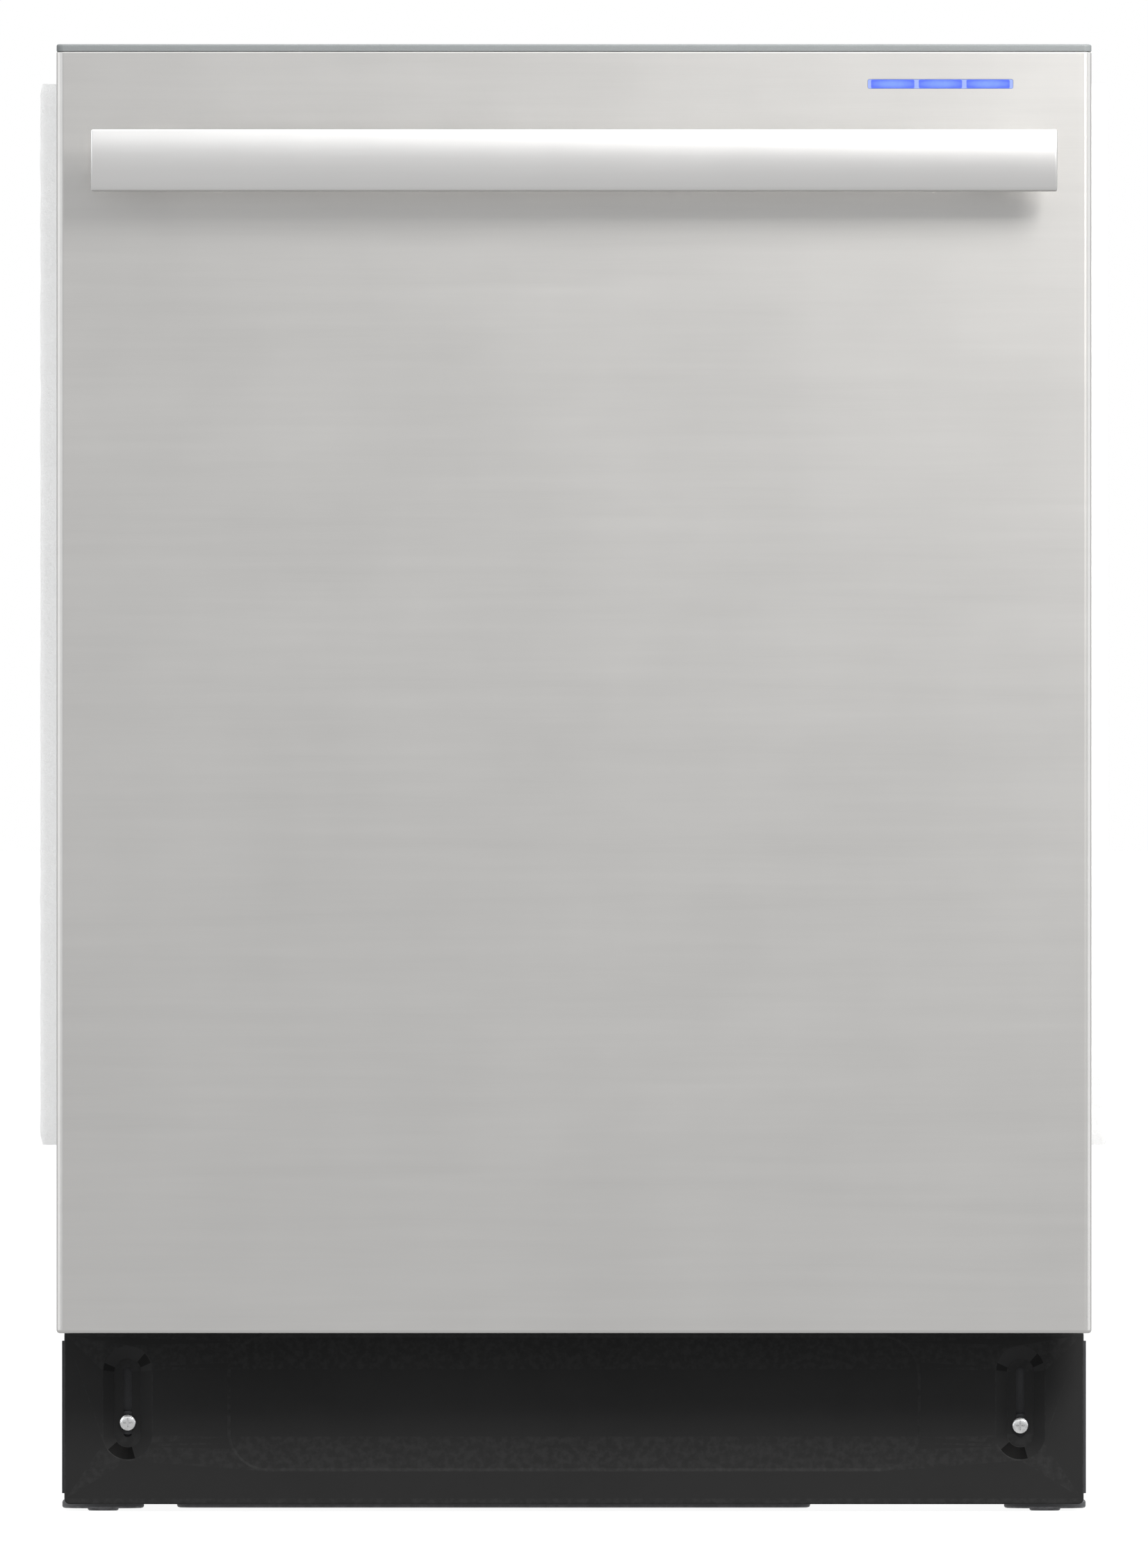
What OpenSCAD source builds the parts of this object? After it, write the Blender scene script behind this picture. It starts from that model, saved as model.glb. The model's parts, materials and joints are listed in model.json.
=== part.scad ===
// Built-in dishwasher: shut, standing on its four feet, with its racks pushed in.
// Millimetres. +Z is up and the front faces -Y. The origin is on the floor, at the middle of the outline.

/* [Overall] */
// Width of the door
door_w = 606.4; // [500:0.1:730]
// Height of the top of the door above the floor
total_h = 860.4; // [780:0.1:1040]
// Depth from the front of the handle to the back of the base
total_d = 622; // [560:1:750]

/* [Door] */
// Thickness of the door from its front to the face of its liner
door_t = 52; // [42:0.5:64]
// Height of the door's lower edge
door_z0 = 105.2; // [88:0.1:110]
// Thickness of the sheet steel of the door's skins
door_sheet = 1; // [0.8:0.1:1.5]
// Bend radius of the upright edges of the outer skin
door_edge_r = 4.5; // [3:0.5:8]
// How far the outer skin wraps back around the edges
door_wrap = 25; // [20:1:32]
// Thickness of the top cap
cap_t = 4.3; // [3:0.1:8]
// Gap between the liner and the tub, which the seal fills
seal_gap = 6; // [5:0.5:10]
// Air left between a seal and the face it meets
seal_air = 0.3; // [0.2:0.1:1]

/* [Handle] */
// Distance from the door to the front of the handle
handle_reach = 45; // [36:1:60]
// Length of the handle's bar
handle_len = 565.5; // [440:0.5:600]
// Height of the handle's bar
handle_h = 36.3; // [28:0.1:46]
// Thickness of the handle's bar
handle_t = 14; // [10:0.5:18]
// Distance from the top of the door to the top of the bar
handle_drop = 50.4; // [40:0.1:80]
// Radius of the bulge of the bar's front
handle_bulge_r = 60; // [45:1:120]
// Radius of each handle post
post_r = 8; // [6:0.5:10]
// Distance from each end of the bar to the middle of its post
post_inset = 34; // [20:1:80]

/* [Status light] */
// Width of the status light
lens_w = 85.4; // [60:0.1:110]
// Height of the status light
lens_h = 5.7; // [4:0.1:9]
// Distance from the middle of the door to the middle of the light
lens_x = 214.7; // [150:0.1:240]
// Distance from the top of the door to the middle of the light
lens_drop = 23.3; // [14:0.1:35]
// Clearance round the light in its window
lens_fit = 0.1; // [0.05:0.05:0.3]

/* [Buttons] */
// Width of each button on the door's top edge
button_w = 25; // [18:0.5:30]
// Depth of each button
button_d = 12; // [8:0.5:16]
// Distance from one button to the next
button_pitch = 38; // [36:1:46]
// Clearance round each button
button_fit = 0.4; // [0.2:0.1:0.6]

/* [Hinge] */
// Height of the hinge axis
hinge_z = 130; // [126:1:150]
// Distance from the hinge axis back to the liner's face
hinge_in = 24; // [20:1:29]
// Radius of each hinge pin
pin_r = 4; // [3:0.1:5]
// Clearance of a shaft in its hole, on the radius
fit = 0.05; // [0.02:0.01:0.1]

/* [Tub] */
// Wall of the tub
tub_wall = 2; // [1.5:0.1:3]
// Distance from the door's edge in to the tub's side
tub_inset = 21.2; // [18:0.1:40]
// Distance from the top of the door down to the top of the tub
tub_top_gap = 20.4; // [18:0.1:30]
// Distance from the back of the base in to the tub
tub_back_gap = 18; // [16:1:40]
// Width of the flange round the tub's mouth
flange_w = 12; // [10:0.5:13]
// Radius of the hole in the tub's floor for the sump
sump_r = 128; // [105:1:154]
// Distance from the tub's mouth back to the spray arms' axis
arm_back = 248; // [240:1:260]

/* [Racks] */
// Height of the lower rack
lower_h = 130; // [105:1:160]
// Height of the upper rack
upper_h = 128; // [105:1:154]
// Thickness of the racks' wires
wire = 4; // [3:0.1:5]
// Largest distance from one wire to the next
wire_pitch = 44; // [36:1:60]
// Gap between the liner and the front of each rack
rack_front_gap = 20; // [15:1:24]
// Distance from the tub's back wall to the back of each rack
rack_back_gap = 45; // [38:1:54]
// Gap between a rack and the tub's side wall
rack_side_gap = 30; // [25:1:36]
// Radius of the lower rack's wheels
wheel_r = 18; // [15:0.5:21]
// Length of the fold-down tines
tine_len = 68; // [56:1:74]

/* [Base] */
// Height of the toe-kick's lower edge
toe_z0 = 4.3; // [4:0.1:9]
// Width of the gap between the door's edge and the toe-kick's edge
toe_inset = 4; // [3:0.1:10]
// Thickness of the toe-kick
toe_t = 3; // [2.5:0.1:4]
// Height of the base's lower edge
base_z0 = 10.6; // [10:0.1:16]
// Height of the base's skirts
skirt_h = 61.1; // [50:0.1:74]
// Radius of each foot
foot_r = 24; // [20:0.5:28]
// Radius of each leg's screw
leg_r = 6; // [5:0.5:7.5]
// Distance from the toe-kick's edge in to the middle of a leg
leg_inset = 22.4; // [20:0.1:27]
// Heights of the left and right toe-kick screws
screw_z = [52.1, 50.4]; // [46:0.1:60]
// Distance from the middle to each toe-kick screw
screw_x = 262; // [218:0.1:264]

/* [Fixings] */
// Width of the notches at the back for the hoses and the cable
hose_notch = 32; // [28:1:40]
// Radius of the holes in the counter brackets
bracket_hole_r = 2.5; // [2:0.1:3]
// Distance from the middle to each counter bracket's hole
bracket_x = 220; // [180:1:250]
// Inner radius of the water inlet
inlet_r = 6; // [5:0.1:7.5]
// Outer radius of the drain outlet
drain_r = 9.5; // [8:0.1:11]
// Radius of the junction box's cable hole
cable_r = 11.1; // [9:0.1:13]

/* [Hidden] */
$fn = 64;

// Planes from front to back
front_y = -total_d / 2;
door_y = front_y + handle_reach;
liner_y = door_y + door_t;
flange_y = liner_y + seal_gap;
rear_y = total_d / 2;
tub_y1 = rear_y - tub_back_gap;
hinge_y = liner_y - hinge_in;
toe_y = hinge_y + hinge_z - door_z0 + 5.2;
base_y0 = toe_y + 10;
arm_y = flange_y + arm_back;

// Half widths
door_hw = door_w / 2;
tub_hw = door_hw - tub_inset;
tub_in = tub_hw - tub_wall;
flange_hw = tub_hw + flange_w;
toe_hw = door_hw - toe_inset;
base_hw = toe_hw + 1.45;
leg_x = toe_hw - leg_inset;
seal_hw = door_hw + 10.7;
rack_hw = tub_in - rack_side_gap;

// Heights
panel_z1 = total_h - cap_t;
track_z = hinge_z + hinge_in;
floor_z = track_z - 4;
tub_z0 = floor_z - tub_wall;
tub_z1 = total_h - tub_top_gap;
tub_top_in = tub_z1 - tub_wall;
skirt_z1 = base_z0 + skirt_h;

// Racks
rack_y0 = liner_y + rack_front_gap;
rack_y1 = tub_y1 - tub_wall - rack_back_gap;
lower_z0 = track_z + 41;
lower_z1 = lower_z0 + lower_h;
upper_z0 = tub_z1 - 408;
upper_z1 = upper_z0 + upper_h;
axle_z = track_z + wheel_r;
wheel_front_y = rack_y0 + 114;
wheel_rear_y = rack_y1 - 46;
wheel_t = 10;
wheel_x = rack_hw + 7;
track_in = rack_hw - 5;
tine_z = lower_z0 + wire + 7;
tine_r = 2.5;
rail_z = upper_z0 + 82;

// Wash system
arm_z = floor_z + 20;
cup_x = 56;
cup_y = arm_y - 48;
cup_r = 40;
pump_x = -60;
pump_z = base_z0 + 44;
manifold_z = upper_z0 - 14;
feed_y0 = tub_y1 - tub_wall - 20;
drain_x = 118;
drain_y = 150;

// A block between two corners given as ranges of x, y and z
module block(x, y, z) {
    translate([x[0], y[0], z[0]]) cube([x[1] - x[0], y[1] - y[0], z[1] - z[0]]);
}

// A cylinder along X, between two places on the axis
module rod_x(x, y, z, r) {
    translate([x[0], y, z]) rotate([0, 90, 0]) cylinder(r = r, h = x[1] - x[0]);
}

// A cylinder along Y, between two places on the axis
module rod_y(x, y, z, r) {
    translate([x, y[0], z]) rotate([-90, 0, 0]) cylinder(r = r, h = y[1] - y[0]);
}

// A cylinder along Z, between two heights
module rod_z(x, y, z, r) {
    translate([x, y, z[0]]) cylinder(r = r, h = z[1] - z[0]);
}

// The range that reaches the same distance to each side of a place
function around(c, reach) = [c - reach, c + reach];

// The same shape on both sides of the middle plane
module both_sides() {
    children();
    mirror([1, 0, 0]) children();
}

// A rectangle with round corners, about its own middle
module round_rect(w, h, r) {
    square([w - 2 * r, h], center = true);
    square([w, h - 2 * r], center = true);
    for (x = [-1, 1], y = [-1, 1])
        translate([x * (w / 2 - r), y * (h / 2 - r)]) circle(r);
}

// A flat outline in X and Z, made into a plate between two places along Y
module plate_y(x, z, y) {
    translate([x, y[1], z]) rotate([90, 0, 0]) linear_extrude(y[1] - y[0]) children();
}

// The plan of the door: square at the back, with round front corners
module door_plan(inset, depth) {
    w = 2 * (door_hw - inset);
    r = max(door_edge_r - inset, 0.5);
    translate([-w / 2, door_y + inset + r]) square([w, depth - inset - r]);
    translate([-w / 2 + r, door_y + inset]) square([w - 2 * r, depth - inset]);
    for (s = [-1, 1]) translate([s * (w / 2 - r), door_y + inset + r]) circle(r);
}

// ---- Cabinet ----

module tub() color("silver") {
    difference() {
        union() {
            block([-tub_hw, tub_hw], [flange_y, tub_y1], [tub_z0, tub_z1]);
            block([-flange_hw, flange_hw], [flange_y, flange_y + tub_wall], [tub_z0, tub_z1 + flange_w]);
        }
        block([-tub_in, tub_in], [flange_y - 1, tub_y1 - tub_wall], [floor_z, tub_top_in]);
        rod_z(0, arm_y, [tub_z0 - 1, floor_z + 1], sump_r);
        both_sides() rod_z(heater_end_x, heater_end_y, [tub_z0 - 1, floor_z + 1], 7);
    }
    both_sides()
        block([track_in, tub_in], [flange_y, tub_y1 - tub_wall], [floor_z, track_z]);
    rod_z(float_x, float_y, [floor_z, floor_z + 18], float_stem_r);
}

module tub_gasket() color("dimgray") difference() {
    block([-flange_hw + 2, flange_hw - 2], [liner_y + seal_air, flange_y], [track_z - 1, tub_z1 + 4]);
    block([-tub_hw, tub_hw], [liner_y, flange_y + 1], [track_z - 3, tub_top_in]);
}

module door_bottom_seal() color("dimgray")
    block([-tub_hw, tub_hw], [liner_y + seal_air, flange_y], [track_z - 6, track_z - 1]);

module side_seals() color("white") both_sides()
    block([flange_hw - 4, seal_hw], [flange_y + tub_wall, flange_y + tub_wall + 12],
        [door_z0 + 110, tub_z1 - 2.1]);

module sound_blanket() color("darkgray") difference() {
    block([-tub_hw - 12, tub_hw + 12], [flange_y + 50, tub_y1 + 12], [tub_z0 + 12, tub_z1 + 12]);
    block([-tub_hw, tub_hw], [flange_y, tub_y1], [tub_z0, tub_z1]);
}

post_x = [base_hw - 38, base_hw - 14.2];
leg_y = [base_y0 + 38, rear_y - 46];
beam_y = [leg_y[0] + 22, drain_y - 55, leg_y[1] - 60];
beam_z = [base_z0 + 11, base_z0 + 18];

module base_frame() color("#3c3c3e") difference() {
    union() {
        both_sides() {
            block([base_hw - 4, base_hw], [base_y0, rear_y], [base_z0, skirt_z1]);
            block([post_x[0], base_hw], [base_y0, rear_y], [skirt_z1 - 4, skirt_z1]);
            block([post_x[0], post_x[1]], [base_y0 + 4, tub_y1], [tub_z0 - 6, tub_z0]);
            for (y = leg_y) {
                block(post_x, [y - 16, y + 16], [skirt_z1 - 4, tub_z0]);
                rod_z(leg_x, y, [base_z0 + 13.4, skirt_z1], leg_r + 9);
            }
        }
        block([-base_hw, base_hw], [base_y0, base_y0 + 4], [base_z0 + 4, door_z0 - 5]);
        block([-base_hw, base_hw], [rear_y - 4, rear_y], [base_z0, skirt_z1]);
        block([-post_x[1], post_x[1]], [tub_y1 - 24, tub_y1], [tub_z0 - 6, tub_z0]);
        for (y = beam_y)
            block([-base_hw, base_hw], around(y, 6), beam_z);
        for (s = [0, 1])
            rod_y((2 * s - 1) * screw_x, [base_y0 - 3, base_y0 + 4], screw_z[s], 7);
    }
    both_sides() for (y = leg_y)
        rod_z(leg_x, y, [0, skirt_z1 + 6], leg_r + fit);
    for (s = [0, 1])
        rod_y((2 * s - 1) * screw_x, [base_y0 - 4, base_y0 + 5], screw_z[s], screw_shank_r + fit);
    for (x = [inlet_x, drain_x, cable_x])
        block(around(x, hose_notch / 2), [rear_y - 5, rear_y + 1], [base_z0 + 26, skirt_z1 + 1]);
}

screw_shank_r = 2;
pocket_w = 28.7;
pocket_h = 66.8;
pocket_z = 63.8;
pocket_d = 5;
slot_w = 4.95;
slot_h = 41.2;

module toe_kick() color("#272727") difference() {
    union() {
        plate_y(0, (toe_z0 + door_z0 + 1.8) / 2, [toe_y, toe_y + toe_t])
            round_rect(2 * toe_hw, door_z0 + 1.8 - toe_z0, 3.3);
        both_sides() {
            block([toe_hw - 3, toe_hw], [toe_y + toe_t, base_y0 - 2], [toe_z0 + 4, door_z0 - 2]);
            plate_y(screw_x, pocket_z, [toe_y + toe_t, toe_y + pocket_d + 2])
                round_rect(pocket_w + 4, pocket_h + 4, pocket_w / 2 + 1.9);
        }
    }
    plate_y(0, (door_z0 + 22.3) / 2, [toe_y - 1, toe_y + 0.8])
        round_rect(2 * (toe_hw - 95.6), door_z0 - 24.7, 24);
    both_sides() {
        plate_y(screw_x, pocket_z, [toe_y - 1, toe_y + pocket_d])
            round_rect(pocket_w, pocket_h, pocket_w / 2 - 0.1);
        plate_y(screw_x, pocket_z + 0.4, [toe_y - 1, toe_y + pocket_d + 3])
            round_rect(slot_w, slot_h, slot_w / 2 - 0.05);
    }
}

module toe_kick_screws() color("silver") for (s = [0, 1]) {
    rod_y((2 * s - 1) * screw_x, [toe_y + pocket_d - 2.4, toe_y + pocket_d], screw_z[s], 5);
    rod_y((2 * s - 1) * screw_x, [toe_y + pocket_d, base_y0 + 9], screw_z[s], screw_shank_r);
}

pan_x = [-toe_hw + 65.9, toe_hw - 160.4];

module drip_pan() color("#4a4a4a") {
    difference() {
        block(pan_x, [base_y0 + 8, leg_y[1] - 40], [2, 14]);
        block(pan_x + [2, -2], [base_y0 + 10, leg_y[1] - 42], [4.3, 15]);
    }
    for (x = pan_x + [30, -30], y = [beam_y[0], beam_y[2]])
        block(around(x, 4), around(y, 4), [4.3, beam_z[0]]);
}

// ---- Wash system under the tub's floor ----

spigot_z = tub_z0 - 28;

module sump() color("#55585c") difference() {
    union() {
        rod_z(0, arm_y, [tub_z0 - 4, tub_z0], sump_r + 10);
        rod_z(0, arm_y, [tub_z0 - 52, tub_z0 - 4], sump_r - 8);
        rod_z(cup_x, cup_y, [tub_z0 - 64, tub_z0 - 52], cup_r + 4);
        rod_x([drain_x - 60, drain_x - 20], drain_y - 16, spigot_z, 9);
    }
    rod_z(0, arm_y, [tub_z0 - 49, tub_z0 + 1], sump_r - 11);
    rod_z(cup_x, cup_y, [tub_z0 - 61, tub_z0 - 48], cup_r + 1);
    rod_z(pump_x, arm_y - 22, [tub_z0 - 53, tub_z0 - 48], 12);
    rod_x([drain_x - 61, drain_x - 19], drain_y - 16, spigot_z, 6);
}

module filter_plate() color("lightgray") difference() {
    rod_z(0, arm_y, [tub_z0, floor_z], sump_r - 0.5);
    rod_z(cup_x, cup_y, [tub_z0 - 1, floor_z + 1], cup_r + 0.6);
    rod_z(0, arm_y, [tub_z0 - 1, floor_z + 1], 14);
}

module filter_cup() color("slategray") difference() {
    union() {
        rod_z(cup_x, cup_y, [tub_z0 - 58, floor_z + 2], cup_r);
        for (a = [0, 90])
            translate([cup_x, cup_y, floor_z + 2]) rotate([0, 0, a])
                block([-cup_r + 3, cup_r - 3], [-2.5, 2.5], [-4, 5]);
    }
    difference() {
        rod_z(cup_x, cup_y, [tub_z0 - 56, floor_z + 3], cup_r - 2);
        for (a = [0, 90])
            translate([cup_x, cup_y, floor_z + 2]) rotate([0, 0, a])
                block([-cup_r, cup_r], [-2.5, 2.5], [-4, 5]);
    }
}

module wash_pump() color("#2f3133") difference() {
    union() {
        rod_y(pump_x, [arm_y - 44, arm_y], pump_z, 40);
        rod_y(pump_x, [arm_y - 150, arm_y - 44], pump_z, 31);
        rod_z(0, arm_y, [tub_z0 - 49, arm_z + 10], 11);
        rod_z(pump_x, arm_y - 22, [pump_z, tub_z0 - 52], 15);
    }
    rod_y(pump_x, [arm_y - 41, arm_y - 3], pump_z, 36);
    rod_y(pump_x, [arm_y - 120, arm_y - 40], pump_z, 4 + fit);
    rod_z(pump_x, arm_y - 22, [pump_z, tub_z0 - 51], 11);
    rod_z(0, arm_y, [tub_z0 - 48, arm_z + 11], 8);
}

module wash_impeller() color("ivory") {
    rod_y(pump_x, [arm_y - 118, arm_y - 8], pump_z, 4);
    rod_y(pump_x, [arm_y - 38, arm_y - 34], pump_z, 33);
    for (a = [0 : 60 : 300])
        translate([pump_x, arm_y, pump_z]) rotate([0, a, 0])
            block([6, 31], [-35, -12], [-1.5, 1.5]);
    rod_y(pump_x, [arm_y - 35, arm_y - 10], pump_z, 8);
}

module drain_pump() color("#2f3133") difference() {
    union() {
        rod_y(drain_x, [drain_y - 70, drain_y], pump_z, 24);
        rod_z(drain_x, drain_y - 16, [pump_z, spigot_z + 9], 9);
        rod_x([drain_x - 20, drain_x], drain_y - 16, spigot_z, 8.5);
        rod_y(drain_x, [drain_y, drain_y + 30], pump_z, drain_r);
        block(around(drain_x, 20), around(beam_y[1], 5), [beam_z[1], pump_z]);
    }
    rod_y(drain_x, [drain_y - 30, drain_y + 31], pump_z, drain_r - 3);
}

heater_r = 188;
heater_end_a = 84;
heater_end_x = heater_r * cos(heater_end_a);
heater_end_y = arm_y + heater_r * sin(heater_end_a);
heater_z = floor_z + 10;

module heater_element() color("#6a6660") {
    translate([0, arm_y, heater_z]) rotate([0, 0, 180 - heater_end_a])
        rotate_extrude(angle = 180 + 2 * heater_end_a, $fn = 96) translate([heater_r, 0]) circle(4, $fn = 32);
    both_sides() {
        translate([heater_end_x, heater_end_y, heater_z]) sphere(5);
        rod_z(heater_end_x, heater_end_y, [tub_z0 - 24, heater_z], 4);
        rod_z(heater_end_x, heater_end_y, [tub_z0 - 10, floor_z - 0.5], 6.8);
    }
}

module water_feed() color("lightgray") difference() {
    union() {
        block([-15, 15], [feed_y0, tub_y1 - tub_wall], [floor_z, tub_top_in]);
        block([-15, 15], [arm_y - 16, feed_y0], [tub_top_in - 12, tub_top_in]);
        rod_z(0, arm_y, [tub_top_in - 32, tub_top_in - 12], 6);
        rod_z(0, arm_y, [tub_top_in - 36, tub_top_in - 32], 9);
        rod_y(0, [feed_y0 - 8, feed_y0], manifold_z, 13);
    }
    rod_y(0, [feed_y0 - 9, feed_y0 + 6], manifold_z, 9);
}

inlet_x = -196;
inlet_z = base_z0 + 54;
cable_x = 172;

module inlet_valve() color("#b8bcc0") {
    difference() {
        union() {
            block(around(inlet_x, 20), [base_y0 + 20, base_y0 + 56], around(inlet_z, 18));
            rod_y(inlet_x, [base_y0 + 56, base_y0 + 80], inlet_z, inlet_r + 3.5);
            block(around(inlet_x, 24), [base_y0 + 4, base_y0 + 20], around(inlet_z - 2, 2));
            rod_x([inlet_x + 20, inlet_x + 40], base_y0 + 38, inlet_z, 6);
        }
        rod_y(inlet_x, [base_y0 + 50, base_y0 + 81], inlet_z, inlet_r);
    }
    block(around(inlet_x, 12), [base_y0 + 26, base_y0 + 50], [inlet_z + 18, inlet_z + 42]);
}

module junction_box() color("#a9adb0") {
    difference() {
        block([130, 215], [base_y0 + 4, base_y0 + 64], [base_z0 + 26, base_z0 + 76]);
        block([132, 213], [base_y0 + 6, base_y0 + 62], [base_z0 + 28, base_z0 + 77]);
        rod_y(cable_x, [base_y0 + 60, base_y0 + 66], base_z0 + 50, cable_r);
    }
    block([129, 216], [base_y0 + 4, base_y0 + 65], [base_z0 + 76, base_z0 + 77.5]);
}

module counter_brackets() color("silver") both_sides() difference() {
    union() {
        block([bracket_x - 20, bracket_x + 20], [flange_y + 34, flange_y + 35.5], [tub_z1, total_h - 2]);
        block([bracket_x - 20, bracket_x + 20], [flange_y + 6, flange_y + 35.5], [total_h - 3.5, total_h - 2]);
        block([bracket_x - 20, bracket_x + 20], [flange_y + 10, flange_y + 35.5], [tub_z1, tub_z1 + 1.5]);
    }
    rod_z(bracket_x, flange_y + 17, [total_h - 5, total_h], bracket_hole_r);
    rod_z(bracket_x, flange_y + 17, [tub_z1 - 1, tub_z1 + 3], bracket_hole_r + 2);
}

strike_z = tub_z1 + 7;

module strike() color("silver") difference() {
    union() {
        block([-11, 11], [liner_y - 14, flange_y], [strike_z, strike_z + 3]);
        block([-18, 18], [flange_y - 1.5, flange_y], [strike_z - 2, strike_z + 5]);
    }
    block([-6, 6], [liner_y - 10, liner_y + 2], [strike_z - 1, strike_z + 4]);
}

module rail_tracks() color("silver") both_sides() difference() {
    block([tub_in - 10, tub_in], [flange_y + 12, rack_y1 + 16], [rail_z - 16, rail_z + 16]);
    block([tub_in - 11, tub_in - 2], [flange_y + 11, rack_y1 + 14], [rail_z - 13, rail_z + 13]);
}

module hinge_brackets() color("#8c8f92") both_sides() {
    rod_x([post_x[1], post_x[1] + 3], hinge_y, hinge_z, pin_r + 5);
    block([post_x[1], post_x[1] + 3], [hinge_y, leg_y[0] + 14], [hinge_z, hinge_z + pin_r + 5]);
    block([post_x[1], post_x[1] + 3], [leg_y[0] - 14, leg_y[0] + 14], [skirt_z1 + 6, hinge_z + 1]);
    rod_x([post_x[1] + 1, post_x[1] + 11], hinge_y, hinge_z, pin_r);
}

// ---- Moving pieces of the cabinet ----

float_x = -tub_hw + 82;
float_y = flange_y + 74;
float_stem_r = 6;

module overfill_float() color("whitesmoke") difference() {
    union() {
        rod_z(float_x, float_y, [floor_z + 2, floor_z + 22], 22);
        rod_z(float_x, float_y, [floor_z + 22, floor_z + 28], 16);
    }
    rod_z(float_x, float_y, [floor_z + 1, floor_z + 24], float_stem_r + fit);
    difference() {
        rod_z(float_x, float_y, [floor_z + 1, floor_z + 20], 20);
        rod_z(float_x, float_y, [floor_z, floor_z + 21], float_stem_r + 3);
    }
}

// A two-ended arm about the spray axis, with a hub whose bore turns on a fixed stem
module spray_arm(z, reach, width, stem_r, hub_z) {
    difference() {
        union() {
            translate([0, arm_y, z]) rotate([0, 0, 90]) linear_extrude(9) {
                square([2 * reach - width, width], center = true);
                for (s = [-1, 1]) translate([s * (reach - width / 2), 0]) circle(width / 2);
            }
            rod_z(0, arm_y, hub_z, stem_r + 9);
        }
        rod_z(0, arm_y, hub_z - [1, -1], stem_r + fit);
        for (s = [-1, 1], k = [1 : 3])
            rod_z(s * 6, arm_y + s * (reach - 8) * k / 3.4, [z - 1, z + 10], 1.6);
    }
}

module lower_spray_arm() color("#8f9498")
    spray_arm(arm_z, arm_reach, 34, 11, [arm_z - 14, arm_z + 13]);

module top_spray_arm() color("#8f9498")
    spray_arm(tub_top_in - 30, arm_reach * 0.5, 26, 6, [tub_top_in - 31.5, tub_top_in - 16]);

arm_reach = min(222, tub_in - 50);

module middle_spray_arm() color("#8f9498")
    spray_arm(manifold_z - 21, arm_reach, 30, 6, [manifold_z - 23.5, manifold_z - 6]);

module middle_manifold() color("#8f9498") difference() {
    union() {
        block([-15, 15], [arm_y - 16, feed_y0 - 14], [manifold_z - 5, upper_z0]);
        rod_y(0, [feed_y0 - 18, feed_y0 - 8.5], manifold_z, 12);
        rod_z(0, arm_y, [manifold_z - 24.5, manifold_z - 4], 6);
        rod_z(0, arm_y, [manifold_z - 28, manifold_z - 24.5], 9);
    }
    rod_y(0, [feed_y0 - 17, feed_y0 - 8], manifold_z, 9);
}

// A foot with its screw
module leg(x, y) color("#4b4d50") {
    rod_z(x, y, [0, 2], 9);
    rod_z(x, y, [1.4, 7], foot_r);
    rod_z(x, y, [7, base_z0 + 13], leg_r + 3);
    rod_z(x, y, [7, skirt_z1 + 2], leg_r);
}

module leg_front_left() leg(-leg_x, leg_y[0]);

module leg_front_right() leg(leg_x, leg_y[0]);

module leg_rear_left() leg(-leg_x, leg_y[1]);

module leg_rear_right() leg(leg_x, leg_y[1]);

// ---- Door ----

liner_z0 = hinge_z - 12;
narrow_hw = tub_hw + 3;
wide_z0 = hinge_z + 30;
liner_z1 = panel_z1;
lens_z = total_h - lens_drop;

module door_panel() color("lightgray") difference() {
    translate([0, 0, door_z0]) linear_extrude(panel_z1 - door_z0) door_plan(0, door_wrap);
    translate([0, 0, door_z0 + door_sheet]) linear_extrude(panel_z1 - door_z0) door_plan(door_sheet, door_wrap + 1);
    both_sides() block([narrow_hw - 4, door_hw - door_sheet], [door_y + 2 * door_sheet, door_y + door_wrap + 1],
        [door_z0 - 1, door_z0 + 2]);
    plate_y(lens_x, lens_z, [door_y - 1, door_y + 3]) round_rect(lens_w, lens_h, 1);
}

module door_liner() color("gainsboro") difference() {
    union() {
        block([-flange_hw, flange_hw], [door_y + door_wrap, liner_y], [wide_z0, liner_z1]);
        block([-narrow_hw, narrow_hw], [door_y + door_wrap, liner_y], [liner_z0, wide_z0 + 1]);
        block([-door_hw + door_sheet, door_hw - door_sheet], [door_y + door_wrap - door_sheet, door_y + door_wrap],
            [wide_z0, liner_z1]);
    }
    block([-flange_hw + door_sheet, flange_hw - door_sheet], [door_y, liner_y - door_sheet],
        [wide_z0 + door_sheet, liner_z1 + 1]);
    block([-narrow_hw + door_sheet, narrow_hw - door_sheet], [door_y, liner_y - door_sheet],
        [liner_z0 + door_sheet, wide_z0 + 2]);
    both_sides() block([arm_x0 - 1, arm_x0 + 3.5], around(hinge_y, 9), [wide_z0 - 1, wide_z0 + 2]);
    block(disp_x, [liner_y - 3, liner_y + 1], disp_z);
    block([-14, 14], [liner_y - 3, liner_y + 1], [strike_z - 2, strike_z + 6]);
}

module hinge_arms() color("#8c8f92") both_sides() difference() {
    union() {
        rod_x([arm_x0, arm_x0 + 3], hinge_y, hinge_z, pin_r + 6);
        block([arm_x0, arm_x0 + 3], [hinge_y - 8, hinge_y + 8], [hinge_z, hinge_z + 210]);
        block([arm_x0 - 8, arm_x0], [hinge_y - 8, hinge_y + 8], [wide_z0 + 10, hinge_z + 210]);
    }
    rod_x([arm_x0 - 1, arm_x0 + 4], hinge_y, hinge_z, pin_r + fit);
}

arm_x0 = flange_hw - door_sheet - 3;

well_y = [door_y + 8, liner_y - 8];
button_y = (door_y + liner_y) / 2 - 6;

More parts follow.
